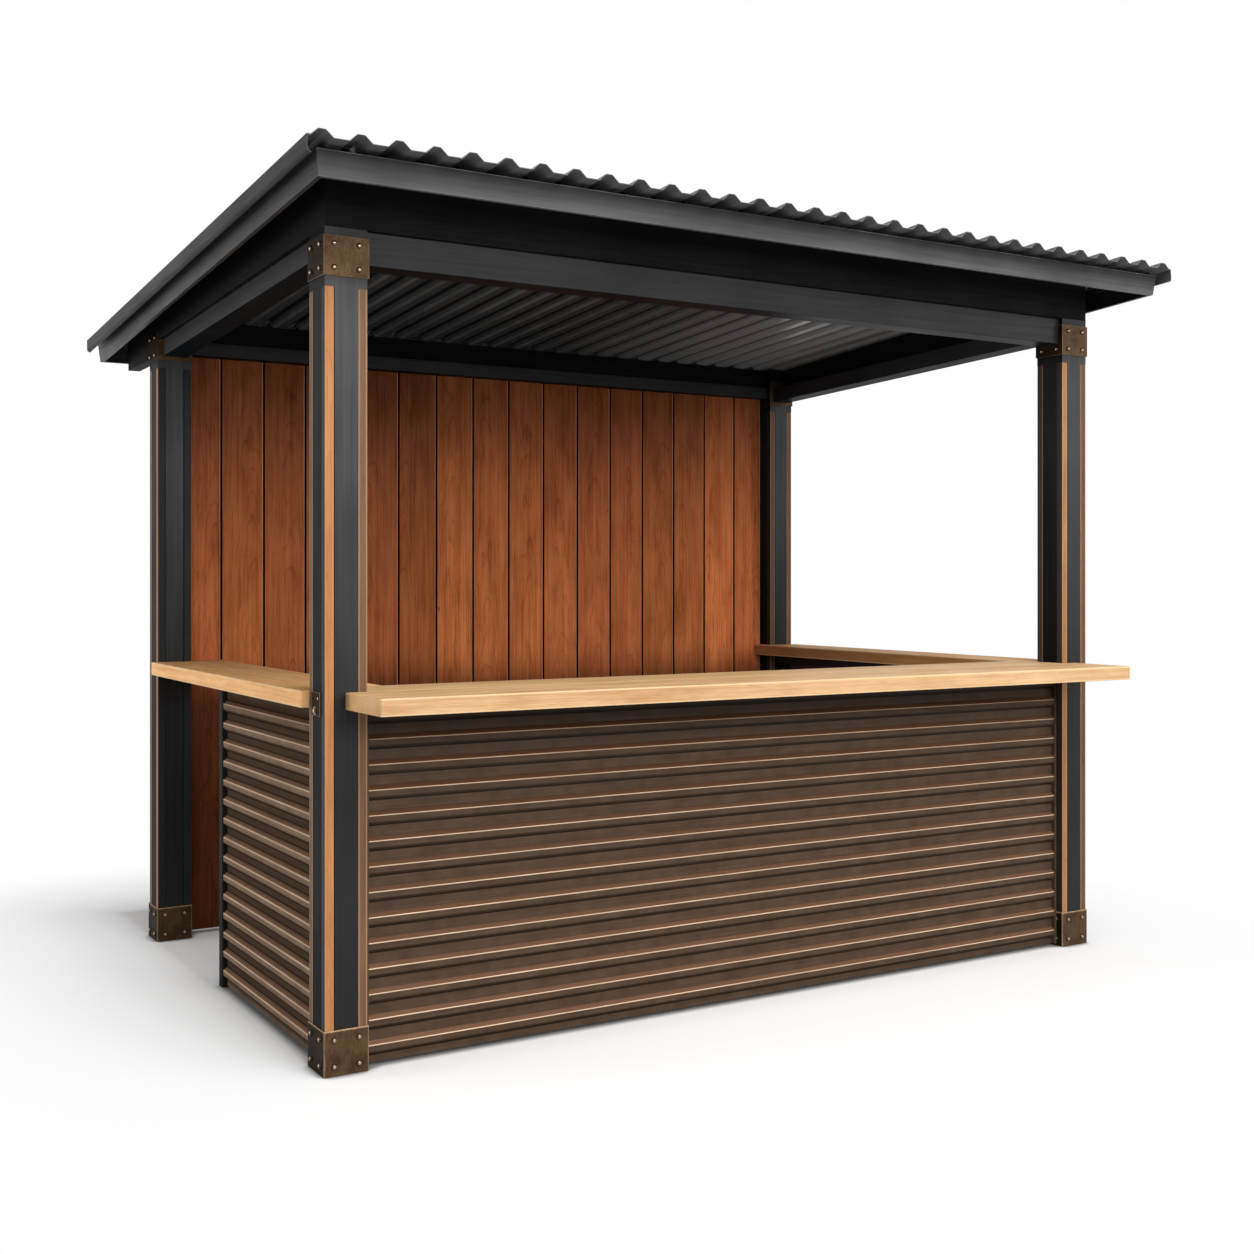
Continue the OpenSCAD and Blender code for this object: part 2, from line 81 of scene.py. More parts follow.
# %% A helper that builds a finish node by node
class Finish:
    """A tree of nodes for a material or a world. Methods add nodes and return an output socket."""

    def __init__(self, owner):
        self.owner = owner
        self.owner.use_nodes = True
        self.tree = self.owner.node_tree

    def node(self, kind, sockets, out=0, **settings):
        """Adds one node, sets its settings, and links or sets its sockets."""
        made = self.tree.nodes.new("ShaderNode" + kind)
        for key, value in settings.items():
            setattr(made, key, value)
        for key, value in sockets.items():
            self.feed(made.inputs[key], value)
        return made.outputs[out]

    def feed(self, socket, value):
        """Links an output to a socket, or sets the socket's own number or colour."""
        if isinstance(value, bpy.types.NodeSocket):
            self.tree.links.new(value, socket)
        else:
            socket.default_value = value

    def place(self):
        """Object coordinates, in metres on the stall."""
        return self.node("TexCoord", {}, "Object")

    def split(self, vector):
        """The three numbers of a vector."""
        return self.node("SeparateXYZ", {0: vector}).node.outputs

    def facing(self):
        """The three numbers of the direction in which the surface faces."""
        return self.split(self.node("NewGeometry", {}, "Normal"))

    def seen(self):
        """1 where the camera or a reflection sees the surface, 0 where it only lights others."""
        rays = self.node("LightPath", {}).node.outputs
        mirrored = self.calc("MAXIMUM", rays["Is Glossy Ray"], rays["Is Transmission Ray"])
        return self.calc("MAXIMUM", rays["Is Camera Ray"], mirrored)

    def tag(self, name):
        """A number that the piece's points carry."""
        return self.node("Attribute", {}, "Fac", attribute_name=name)

    def calc(self, operation, *values):
        """One step of arithmetic."""
        return self.node("Math", dict(enumerate(values)), operation=operation)

    def total(self, *terms):
        """A sum of values, each times its own share."""
        result = self.calc("MULTIPLY", *terms[0])
        for term in terms[1:]:
            result = self.calc("ADD", result, self.calc("MULTIPLY", *term))
        return result

    def chance(self, seed, step):
        """A number from 0 to 1 that jumps from seed to seed: the fraction of the seed times a step."""
        return self.calc("FRACT", self.calc("MULTIPLY", seed, step))

    def vector(self, operation, *values):
        """One step of vector arithmetic."""
        return self.node("VectorMath", dict(enumerate(values)), operation=operation)

    def times(self, colour, factor):
        """A colour times a number."""
        return self.node("VectorMath", {0: colour, 3: factor}, operation="SCALE")

    def noise(self, where, scale, detail=2.0, rough=0.5):
        """Soft random values from 0 to 1. A scale of three numbers stretches them."""
        stretched = self.vector("MULTIPLY", where, scale)
        sockets = {"Vector": stretched, "Scale": 1.0, "Detail": detail, "Roughness": rough}
        return self.node("TexNoise", sockets, "Fac")

    def between(self, value, low, high, to_low=0.0, to_high=1.0):
        """A value from low to high, carried smoothly to another range."""
        sockets = {0: value, 1: low, 2: high, 3: to_low, 4: to_high}
        return self.node("MapRange", sockets, interpolation_type="SMOOTHSTEP")

    def mix(self, share, first, second):
        """First colour where share is 0, second where it is 1."""
        return self.node("Mix", {0: share, 6: first, 7: second}, 2, data_type="RGBA")

    def blend(self, share, first, second):
        """First number where share is 0, second where it is 1."""
        return self.node("Mix", {0: share, 2: first, 3: second})

    def finish(self, colour, rough, height, depth, strength, **sockets):
        """Ends a material: colour, roughness, bump and any other sockets go to the surface."""
        surface = self.tree.nodes["Principled BSDF"].inputs
        bump = {"Strength": strength, "Distance": depth, "Height": height}
        self.feed(surface["Base Color"], colour)
        self.feed(surface["Roughness"], rough)
        self.feed(surface["Normal"], self.node("Bump", bump))
        for key, value in sockets.items():
            self.feed(surface[key.replace("_", " ")], value)
        return self.owner


def grey(tone):
    """A neutral colour."""
    return (tone, tone, tone, 1)


print("finish helper ready")

# %% [markdown]
# ## Painted and coated metal
# Posts, beams and roof wear a charcoal coat with a satin sheen. A real coat is never one flat tone: it is a
# little blotchy, it shows faint strokes along the member, and its gloss varies. Stretched noise gives the
# strokes, broad noise the blotches, and both also move the roughness a little, so that reflections break up
# as they should. Faces that are turned down or sideways are told by the direction they face, and on some
# coats their colour is darkened there as painted shade.

# %% Charcoal coats
STROKES = {"x": (2.0, 90.0, 90.0), "y": (90.0, 2.0, 90.0), "z": (90.0, 90.0, 2.0)}
BLOTCHES, SPECKS = (3.0, 3.0, 3.0), (240.0, 240.0, 240.0)
COAT_BUMP, MATT_SHINE, SIDE_SHADE, UNDER_ROUGH, UNDER_SHINE = 0.0004, 0.02, 0.42, 0.25, 0.30
# From fully to not at all turned down, from not at all to fully sideways, from fully to not at all inwards.
DOWN, SIDEWAYS, INWARDS = (-0.8, -0.4), (0.3, 0.8), (-1.2, -0.6)
# A half shade and a pale painted sheen for the roof sheet's reverse under the roof.
HALF_SHADE, PAINTED_SHEEN = (0.190, 0.200, 0.200, 1), (0.31, 0.355, 0.37, 1)


def coat(name, along, dark, light, edge, gloss, shine, reverse=None, soot=None, painted_shading=(), sides=None,
         underside_shade=None, dents=0.35):
    """A painted finish with strokes along one axis: the tone runs from dark to light with the strokes and
    blotches, and turns to the edge colour by the tag for edge rubbing and painted highlight. Gloss is the
    middle roughness. Coated sheet has a reverse. Where a painted shade colour is given, the reverse shows
    where the under tag is 1 and goes from its own colour to a pale painted sheen, then a half shade, as the
    tag for painted shade grows, and the whole coat goes over to that colour by the same tag. Without it, the
    reverse shows where a face is turned to the stall's middle. Each range of heights for painted shading gives
    factors of the colour there: painted highlight and painted shade. Sides is the shine of faces turned left
    or right, which are also darkened as painted shade; the underside factor darkens faces turned down as
    painted shade; and dents is the strength of the bumps."""
    f = Finish(bpy.data.materials.new(name))
    at = f.place()
    place, facing = f.split(at), f.facing()
    strokes = f.noise(at, STROKES[along], 4.0, 0.6)
    blotches, specks = f.noise(at, BLOTCHES, 3.0), f.noise(at, SPECKS)
    tone = f.total((strokes, 0.55), (blotches, 0.45))
    colour = f.mix(f.between(tone, 0.3, 0.7), dark, light)
    rough = f.between(tone, 0.25, 0.75, gloss + 0.07, gloss - 0.07)
    glint = shine
    # Painted highlight and painted shade by height.
    for change in painted_shading:
        colour = f.times(colour, f.between(place[2], *change))
    # Painted shade on faces turned down.
    if underside_shade:
        colour = f.mix(f.between(facing[2], *DOWN, 1.0, 0.0), colour, f.vector("MULTIPLY", colour, underside_shade))
        glint = f.between(facing[2], *DOWN, MATT_SHINE, shine)
    # Under the roof: a pale painted sheen, a half shade, then black painted shade.
    if reverse and soot:
        shown, black = f.tag("under"), f.tag("soot")
        sheen_reverse = f.mix(f.between(black, 0.0, 0.12), reverse, PAINTED_SHEEN)
        back = f.mix(f.between(black, 0.35, 0.65), sheen_reverse, HALF_SHADE)
        rough = f.blend(shown, rough, UNDER_ROUGH)
        glint = f.blend(shown, shine, f.between(black, 0.3, 0.6, UNDER_SHINE, MATT_SHINE))
    elif reverse:
        shown = f.between(f.calc("MULTIPLY", place[0], facing[0]), *INWARDS, 1.0, 0.0)
        back = reverse
    if reverse:
        share = f.calc("MULTIPLY", shown, f.between(tone, 0.25, 0.75, 0.75, 1.0))
        colour = f.mix(share, colour, back)
    if soot:
        colour = f.mix(f.tag("soot"), colour, soot)
    worn_and_lit = f.calc("MULTIPLY", f.tag("wear"), f.between(blotches, 0.35, 0.65, 0.25, 0.8))
    colour = f.mix(worn_and_lit, colour, edge)
    # Painted shade on faces turned sideways.
    if sides is not None:
        sideways = f.calc("ABSOLUTE", facing[0])
        colour = f.times(colour, f.between(sideways, *SIDEWAYS, 1.0, SIDE_SHADE))
        glint = f.between(sideways, *SIDEWAYS, shine, sides)
    height = f.total((strokes, 1.0), (specks, 0.35))
    return f.finish(colour, rough, height, COAT_BUMP, dents, Specular_IOR_Level=glint)


# %% Coats of posts, beams and roof
POST = (0.013, 0.0135, 0.014, 1), (0.025, 0.0255, 0.026, 1), grey(0.11)
# The beams are the charcoal darkened to near black: painted shade under the roof.
BEAM = grey(0.004), grey(0.009), grey(0.11)
# The roof's coated steel in tones that stand in for light: the barges are a darker copy, painted shade, the
# front fascia a lighter copy, painted light, and the rim a lighter copy, painted highlight on the barges'
# edges.
ROOF_EDGE = grey(0.16)
BARGE = (0.011, 0.0112, 0.0114, 1), (0.024, 0.0242, 0.0244, 1), ROOF_EDGE
FASCIA = grey(0.020), grey(0.044), ROOF_EDGE
FRONT_FASCIA = grey(0.055), grey(0.100), ROOF_EDGE
SHEET = grey(0.064), grey(0.084), ROOF_EDGE
RIM = grey(0.09), grey(0.17), ROOF_EDGE
# The sheet's pale backing coat, the blue-black painted shade of its underside inside the stall, and the black
# painted shade under the front fascia's lip and on the side fascias' inward faces.
REVERSE, UNDER_ROOF_SHADE, SHADE = (0.115, 0.12, 0.12, 1), (0.003, 0.008, 0.010, 1), grey(0.008)
# Painted highlight and shade: posts are lighter towards their heads and dark under the roof, and the
# undersides of lintels are darker and cooler.
POST_PAINTED_SHADING, UNDERSIDE_SHADE = ((0.75, 2.2, 0.66, 1.85), (2.18, 2.24, 1.0, 0.3)), (0.25, 0.50, 0.60)
paint_up = coat("charcoal_upright", "z", *POST, gloss=0.42, shine=0.15, painted_shading=POST_PAINTED_SHADING, sides=0.02)
paint_across = coat("charcoal_across", "x", *POST, gloss=0.44, shine=0.12, underside_shade=UNDERSIDE_SHADE)
paint_deep = coat("charcoal_deep", "y", *POST, gloss=0.46, shine=0.06, underside_shade=UNDERSIDE_SHADE)
matt_shaded_across = coat("matt_shaded_beam_across", "x", *BEAM, gloss=0.60, shine=0.03)
matt_shaded_deep = coat("matt_shaded_beam_deep", "y", *BEAM, gloss=0.60, shine=0.03)
fascia_across = coat("fascia_coat", "x", *FASCIA, gloss=0.38, shine=0.16)
front_fascia = coat("front_fascia_coat", "x", *FRONT_FASCIA, gloss=0.45, shine=0.05, soot=SHADE)
barge_deep = coat("barge_coat", "y", *BARGE, gloss=0.46, shine=0.08, reverse=grey(0.075))
roof_deep = coat("side_fascia_coat", "y", *FASCIA, gloss=0.42, shine=0.14, reverse=SHADE)
sheet_finish = coat("roof_sheet_coat", "y", *SHEET, gloss=0.45, shine=0.10, reverse=REVERSE, soot=UNDER_ROOF_SHADE,
                    dents=0.08)
roof_rim = coat("roof_rim", "y", *RIM, gloss=0.40, shine=0.20)
print("coats from", paint_up.name, "to", roof_rim.name)

# %% [markdown]
# ## Bronze
# The cladding is bronze-brown coated sheet, and the boots and brackets are dark bronze plate. Handling rubs
# the folds bright: the tag that the pieces carry along their folds mixes in a lighter tan metal, broken up by
# noise, for that rubbing and for painted highlight. Grooves and the feet of rivets are darkened with deposits
# and painted shade, and the ridges' upper flanks carry a painted copper reflection. Fine drawn lines along
# the sheet and darker blotches of patina keep the flats alive.

# %% Bronze finishes
PATINA, BRONZE_BUMP, BRONZE_DENTS, FLANK_SHARE = (14.0, 14.0, 14.0), 0.0003, 0.3, 0.85
# A painted copper reflection for the upper flanks, and a near black for deposits and painted shade.
REFLECTED_COPPER, GRIME_AND_SHADE = (0.155, 0.073, 0.037, 1), (0.006, 0.0045, 0.0035, 1)


def bronze(name, stretch, dark, light, rubbed_and_lit, gloss, metal, wear_light_range, shine=0.15, painted_shading=None, sides=1.0):
    """Patina from dark to light by blotches and drawn lines, a painted copper reflection on the upper flanks,
    darkening in grooves and at the feet of rivets for deposits and painted shade, and lighter metal on the
    folds for rubbing and painted highlight, each where its tag is 1, the last in a share that the lines move
    over the given range. Gloss is the middle roughness. A range of heights gives factors of the colour,
    painted shadow under the worktop, and sides is that factor for faces turned left or right, painted shade
    on faces that are also less of a metal."""
    f = Finish(bpy.data.materials.new(name))
    at = f.place()
    lines, patina = f.noise(at, stretch, 4.0, 0.65), f.noise(at, PATINA, 4.0, 0.6)
    tone = f.total((lines, 0.45), (patina, 0.55))
    colour = f.mix(f.between(tone, 0.3, 0.7), dark, light)
    metallic = metal
    # Painted shade on faces turned sideways.
    if sides != 1.0:
        sideways = f.calc("ABSOLUTE", f.facing()[0])
        colour = f.times(colour, f.between(sideways, *SIDEWAYS, 1.0, sides))
        metallic = f.between(sideways, *SIDEWAYS, metal, metal * sides * sides)
    # Painted copper reflection on the upper flanks.
    colour = f.mix(f.calc("MULTIPLY", f.tag("flank"), FLANK_SHARE), colour, REFLECTED_COPPER)
    # Deposits and painted shade in grooves and at the feet of rivets.
    grime_shade = f.calc("MULTIPLY", f.tag("grime_and_shade"), f.between(patina, 0.3, 0.7, 0.85, 1.0))
    colour = f.mix(grime_shade, colour, GRIME_AND_SHADE)
    # Rubbed metal and painted highlight.
    worn_and_lit = f.calc("MULTIPLY", f.tag("wear"), f.between(lines, 0.3, 0.7, *wear_light_range))
    colour = f.mix(worn_and_lit, colour, rubbed_and_lit)
    # Painted shadow under the worktop.
    if painted_shading:
        colour = f.times(colour, f.between(f.split(at)[2], *painted_shading))
    rough = f.between(tone, 0.3, 0.7, gloss + 0.08, gloss - 0.06)
    height = f.total((lines, 1.0), (patina, 0.4))
    return f.finish(colour, rough, height, BRONZE_BUMP, BRONZE_DENTS, Metallic=metallic,
                    Specular_IOR_Level=shine)


# %% Bronze sheet, plate and rivets
TAN, PLATE_TAN, RIVET_TAN = (0.70, 0.50, 0.34, 1), (0.42, 0.28, 0.16, 1), (0.62, 0.44, 0.27, 1)
# The side sheet is a lighter copy of the front sheet: painted light on the sides.
FRONT_SHEET = (0.052, 0.0315, 0.0185, 1), (0.088, 0.0555, 0.0345, 1), TAN
SIDE_SHEET = (0.104, 0.069, 0.046, 1), (0.183, 0.123, 0.084, 1), TAN
PLATE = (0.038, 0.022, 0.011, 1), (0.105, 0.063, 0.033, 1), PLATE_TAN
# Plate edges are a lighter copy for the eased edges: rubbed metal and painted highlight.
PLATE_EDGE = (0.15, 0.10, 0.06, 1), (0.27, 0.18, 0.11, 1), PLATE_TAN
RIVET = (0.050, 0.031, 0.017, 1), (0.095, 0.060, 0.034, 1), RIVET_TAN
LINES_X, LINES_Y = (3.0, 260.0, 260.0), (260.0, 3.0, 260.0)
LINES_UP, LINES_ALL = (200.0, 200.0, 60.0), (90.0, 90.0, 90.0)
# The cladding darkens towards the worktop: painted shadow under the worktop.
clad_across = bronze("cladding_across", LINES_X, *FRONT_SHEET, gloss=0.42, metal=0.15, wear_light_range=(0.7, 1.0),
                     shine=0.10, painted_shading=(0.78, 1.0, 1.0, 0.30))
clad_deep = bronze("cladding_deep", LINES_Y, *SIDE_SHEET, gloss=0.50, metal=0.03, wear_light_range=(0.5, 0.95),
                   shine=0.0, painted_shading=(0.88, 1.0, 1.0, 0.5))
plate_finish = bronze("bronze_plate", LINES_UP, *PLATE, gloss=0.40, metal=0.22, wear_light_range=(0.5, 0.9),
                      shine=0.02, sides=0.2)
plate_edge = bronze("bronze_plate_edge", LINES_ALL, *PLATE_EDGE, gloss=0.40, metal=0.45, wear_light_range=(0.5, 0.9))
rivet_finish = bronze("bronze_rivet", LINES_ALL, *RIVET, gloss=0.24, metal=0.80, wear_light_range=(0.6, 0.9))
print("bronze from", clad_across.name, "to", rivet_finish.name)

# %% [markdown]
# ## Timber
# A board is a slice of a trunk, so its pattern is one formula in three directions: count the growth rings by
# the distance from the trunk's heart, which runs nearly along the board. Where the heart slowly leaves the
# face, the rings close into long loops, and on the board's edges the same rings are straight lines. Fine
# fibres and pores run the whole length. Each board carries a seed that moves the heart, so that no two boards
# are alike.

# %% Timber finishes
ORDER = {"x": (1, 2, 0), "y": (0, 2, 1), "z": (0, 1, 2)}
SEED_SHIFT, BENDS, KNOTS = (7.1, 3.7, 23.0), (4.0, 4.0, 1.1), (6.0, 6.0, 2.4)
FIBRES, BANDS, CLOUDS, PORES = (330.0, 330.0, 5.0), (75.0, 75.0, 1.1), (15.0, 15.0, 4.5), (350.0, 350.0, 26.0)
HEART_SIDE, HEART_DEPTH, HEART_LEAST, HEART_RISE = 0.10, 0.08, 0.03, 0.025
BEND_SIDE, BEND_DEPTH, TIMBER_BUMP, TIMBER_DENTS = 0.05, 0.08, 0.0006, 0.4
# Steps that turn a seed into chances: the heart's side and depth, the board's tone and its hue.
SIDE_STEP, DEPTH_STEP, TONE_STEP, HUE_STEP = 5.3, 7.31, 3.17, 9.7


def timber(name, along, dark, light, edge, ring, figure, vary, shine, end=None, knot=None, joint=None,
           painted_shading=(), tones=None, inner=None):
    """Wood with its grain along one axis. A ring is the root of ((across minus the heart's side) squared plus
    (depth plus the heart's depth) squared) over the ring width, and its last part is a thin dark line. The
    heart's depth grows along the board, and soft noise bends it. The tone is made of rings, in a share called
    figure, and of fibres, bands and clouds. The seed shifts all of them from board to board, and the board's
    own tone by up to vary. Each range of the painted shading holds an axis, two places on it and the factors
    of the colour there, for faces that aren't turned to the back: painted shade and light. Inner is such a
    factor for faces turned to the stall's middle, painted shade, tones are the factor of an aged face and the
    colour of a painted one, and edge, end, knot and the last colour are for edges with rubbing and painted
    highlight, end grain, knots, and joints together with painted shade on the boards' front left edges."""
    f = Finish(bpy.data.materials.new(name))
    seed, facing, parts = f.tag("seed"), f.facing(), f.split(f.place())
    local = f.node("CombineXYZ", {k: parts[axis] for k, axis in enumerate(ORDER[along])})
    shift = f.node("CombineXYZ", {k: f.calc("MULTIPLY", seed, size) for k, size in enumerate(SEED_SHIFT)})
    at = f.vector("ADD", local, shift)
    bend = f.calc("SUBTRACT", f.noise(at, BENDS, 3.0, 0.55), 0.5)
    side = f.total((f.calc("SUBTRACT", f.chance(seed, SIDE_STEP), 0.5), HEART_SIDE), (bend, BEND_SIDE))
    reach = f.total((f.chance(seed, DEPTH_STEP), HEART_DEPTH), (HEART_LEAST, 1.0),
                    (parts[ORDER[along][2]], HEART_RISE), (bend, BEND_DEPTH))
    flat = f.calc("POWER", f.calc("SUBTRACT", f.tag("across"), side), 2.0)
    deep = f.calc("POWER", f.calc("ADD", f.tag("depth"), reach), 2.0)
    count = f.calc("DIVIDE", f.calc("SQRT", f.calc("ADD", flat, deep)), ring)
    rings = f.between(f.calc("FRACT", count), 0.70, 1.0, 1.0, 0.0)
    fibres = f.noise(at, FIBRES, 4.0, 0.65)
    bands = f.noise(at, BANDS, 4.0, 0.6)
    clouds = f.noise(at, CLOUDS, 3.0, 0.55)
    pores = f.between(f.noise(at, PORES), 0.58, 0.72)
    share = 0.33 - figure / 2
    tone = f.total((rings, figure), (fibres, 0.34), (bands, share), (clouds, share))
    tone = f.calc("SUBTRACT", f.between(tone, 0.30, 0.72), f.calc("MULTIPLY", pores, 0.25))
    colour = f.mix(tone, dark, light)
    colour = f.times(colour, f.between(f.chance(seed, TONE_STEP), 0.0, 1.0, 1.0 - vary, 1.0 + vary))
    yellow, red = (1.0, 1.0 + vary / 6, 1.0 - vary / 6, 1), (1.0, 1.0 - vary / 6, 1.0 + vary / 6, 1)
    colour = f.vector("MULTIPLY", colour, f.mix(f.chance(seed, HUE_STEP), yellow, red))
    # Painted shade and light across the boards.
    for axis, *change in painted_shading:
        room = f.calc("LESS_THAN", facing[1], 0.5)
        colour = f.times(colour, f.blend(room, 1.0, f.between(parts[axis], *change)))
    # Painted shade on faces turned to the stall's middle.
    if inner:
        turned = f.between(f.calc("MULTIPLY", parts[0], facing[0]), -0.8, -0.5, 1.0, 0.0)
        colour = f.mix(turned, colour, f.vector("MULTIPLY", colour, inner))
    if knot:
        cells = f.vector("MULTIPLY", at, KNOTS)
        near = f.node("TexVoronoi", {"Vector": cells, "Scale": 1.0}, "Distance")
        colour = f.mix(f.between(near, 0.012, 0.034, 0.9, 0.0), colour, knot)
    if tones:
        sideways = f.calc("GREATER_THAN", f.calc("ABSOLUTE", facing[0]), f.calc("ABSOLUTE", facing[1]))
        age = f.blend(sideways, f.tag("front_tone"), f.tag("side_tone"))
        colour = f.mix(f.between(age, 0.0, 0.5), colour, f.vector("MULTIPLY", colour, tones[0]))
    # Rubbed edges and painted highlight.
    colour = f.mix(f.calc("MULTIPLY", f.tag("wear"), 0.7), colour, edge)
    if tones:
        colour = f.mix(f.between(age, 0.5, 1.0), colour, tones[1])
    if end:
        colour = f.mix(f.calc("MULTIPLY", f.tag("cap"), f.between(rings, 0.0, 1.0, 0.5, 0.25)), colour, end)
    # Dark joints, and painted shade on the boards' front left edges.
    if joint:
        colour = f.mix(f.tag("joint"), colour, joint)
    rough = f.between(tone, 0.0, 1.0, 0.58, 0.42)
    height = f.total((fibres, 0.8), (rings, 0.3))
    return f.finish(colour, rough, height, TIMBER_BUMP, TIMBER_DENTS, Specular_IOR_Level=shine)


# %% Boards, oak and strips
RED = (0.20, 0.046, 0.012, 1), (0.56, 0.170, 0.057, 1), (0.78, 0.36, 0.17, 1)
KNOT, JOINT_DARK = (0.03, 0.009, 0.004, 1), (0.008, 0.002, 0.001, 1)
# Painted shade and light: the boards are darker towards the roof, below the worktop and to the left.
RED_PAINTED_SHADING = ((2, 1.05, 2.25, 1.42, 0.45), (2, 0.85, 1.1, 0.2, 1.0), (0, -1.3, 1.3, 0.84, 1.15))
OAK_EDGE, OAK_END = (0.74, 0.53, 0.31, 1), (0.62, 0.33, 0.12, 1)
OAK = (0.40, 0.220, 0.091, 1), (0.67, 0.445, 0.240, 1), OAK_EDGE
# The side oak is a lighter copy of the front oak, painted light on the sides, and its faces turned to the
# stall's middle are darker, painted shade.
SIDE_OAK, SIDE_OAK_INNER_SHADE = ((0.60, 0.29, 0.10, 1), (0.95, 0.58, 0.27, 1), OAK_EDGE), (0.50, 0.44, 0.38)
STRIP = (0.27, 0.108, 0.036, 1), (0.50, 0.225, 0.082, 1), (0.40, 0.23, 0.11, 1)
STRIP_AGED, STRIP_PAINT = (0.34, 0.41, 0.65), (0.016, 0.0165, 0.017, 1)
board_finish = timber("red_boards", "z", *RED, ring=0.006, figure=0.07, vary=0.20, shine=0.04, knot=KNOT,
                      joint=JOINT_DARK, painted_shading=RED_PAINTED_SHADING)
oak_across = timber("oak_across", "x", *OAK, ring=0.004, figure=0.03, vary=0.05, shine=0.04, end=OAK_END)
oak_deep = timber("oak_deep", "y", *SIDE_OAK, ring=0.004, figure=0.03, vary=0.05, shine=0.04, end=OAK_END,
                  inner=SIDE_OAK_INNER_SHADE)
strip_finish = timber("corner_strip_timber", "z", *STRIP, ring=0.004, figure=0.05, vary=0.08, shine=0.12,
                      tones=(STRIP_AGED, STRIP_PAINT))
print("timber from", board_finish.name, "to", strip_finish.name)

# %% [markdown]
# ## Outlines and sweeps
# Nearly everything on the stall is a profile carried along a line: a board is a rectangle carried up, the
# cladding a zigzag carried along the counter. Sharp corners never look real because nothing catches the
# light, so the first helper rounds an outline, and it tags the rounded points so that finishes can show them
# rubbed and paint a highlight on them. The second carries an outline along an axis and closes both ends.


# %% Rounded outlines
def unit(rows):
    """Each row divided by its own length."""
    return rows / np.linalg.norm(rows, axis=-1, keepdims=True)


def rounded(corners, radius, steps, guard):
    """A closed outline with rounded corners, and its wear tags. With a and b the directions from a corner to
    its neighbours, the arc's centre lies on their bisector, one radius from both sides. The arc's points are
    tagged 1, and a guard point on each side of it is tagged 0."""
    p = np.asarray(corners, float)
    to_last, to_next = np.roll(p, 1, 0) - p, np.roll(p, -1, 0) - p
    a, b = unit(to_last), unit(to_next)
    side = np.minimum(np.linalg.norm(to_last, axis=1), np.linalg.norm(to_next, axis=1))[:, None]
    half = np.arccos(np.clip((a * b).sum(1), -1.0, 1.0))[:, None] / 2
    reach = np.minimum(np.broadcast_to(radius, len(p))[:, None] / np.tan(half), 0.4 * side)
    centre = p + unit(a + b) * (reach / np.cos(half))
    first, last = p + a * reach - centre, p + b * reach - centre
    turn = (np.pi - 2 * half)[:, None]
    t = np.linspace(0.0, 1.0, steps + 1)[None, :, None]
    swing = np.sin((1 - t) * turn) * first[:, None] + np.sin(t * turn) * last[:, None]
    arc = centre[:, None] + swing / np.sin(turn)
    lead = np.minimum(reach + guard, 0.48 * side)
    outline = np.concatenate([(p + a * lead)[:, None], arc, (p + b * lead)[:, None]], 1)
    tags = np.zeros(outline.shape[:2])
    tags[:, 1:-1] = 1.0
    return outline.reshape(-1, 2), {"wear": tags.ravel()}


def per_corner(steps):
    """How many points a rounded corner has: the arc's and its two guards."""
    return steps + 3


def inward(outline):
    """The unit direction into a counter-clockwise outline at each of its points."""
    along = unit(np.roll(outline, -1, 0) - np.roll(outline, 1, 0))
    return np.stack([-along[:, 1], along[:, 0]], 1)


# %% Sweeps
def carry(outline, tags, axis, stations, insets=None, rubbed_and_lit=0.0, **facts):
    """An outline carried along an axis as a closed solid. Ring k stands at station k, is moved inwards by
    inset k, and its tag for rubbing and painted highlight is at least its number there. Neighbouring rings are
    joined with quads and both ends are closed. Facts are numbers for all its points."""
    turn = np.roll(outline, -1, 0)
    if (outline[:, 0] * turn[:, 1] - outline[:, 1] * turn[:, 0]).sum() < 0:
        outline, tags = outline[::-1], {key: values[::-1] for key, values in tags.items()}
    stations = np.asarray(stations, float)
    insets = np.zeros(len(stations)) if insets is None else np.asarray(insets, float)
    n, m = len(outline), len(stations)
    flat = outline[None] + insets[:, None, None] * inward(outline)[None]
    points = np.empty((m, n, 3))
    u, v, w = ORDER[axis]
    points[..., u], points[..., v], points[..., w] = flat[..., 0], flat[..., 1], stations[:, None]
    ring, place = np.arange(m - 1)[:, None] * n, np.arange(n)[None]
    after = (place + 1) % n
    quads = np.stack([ring + place, ring + after, ring + n + after, ring + n + place], -1).reshape(-1, 4)
    first, last = np.arange(n)[::-1], (m - 1) * n + np.arange(n)
    if axis == "y":
        quads, first, last = quads[:, ::-1], first[::-1], last[::-1]
    cap = np.zeros((m, n))
    cap[[0, -1]] = 1.0
    made = {"points": points.reshape(-1, 3), "faces": quads.tolist() + [first.tolist(), last.tolist()]}
    made["tags"] = {key: np.tile(values, m) for key, values in tags.items()}
    made["tags"]["wear"] = np.maximum(made["tags"]["wear"], np.repeat(np.broadcast_to(rubbed_and_lit, m), n))
    made["tags"]["cap"] = cap.ravel()
    made["tags"].update({key: np.full(m * n, value) for key, value in facts.items()})
    return made


def eased(start, end, ease):
    """Stations and insets of a bar whose ends are eased all round."""
    return [start, start + ease, end - ease, end], [ease, 0.0, 0.0, ease]


BAR_STEPS, BAR_GUARD = 3, 0.004


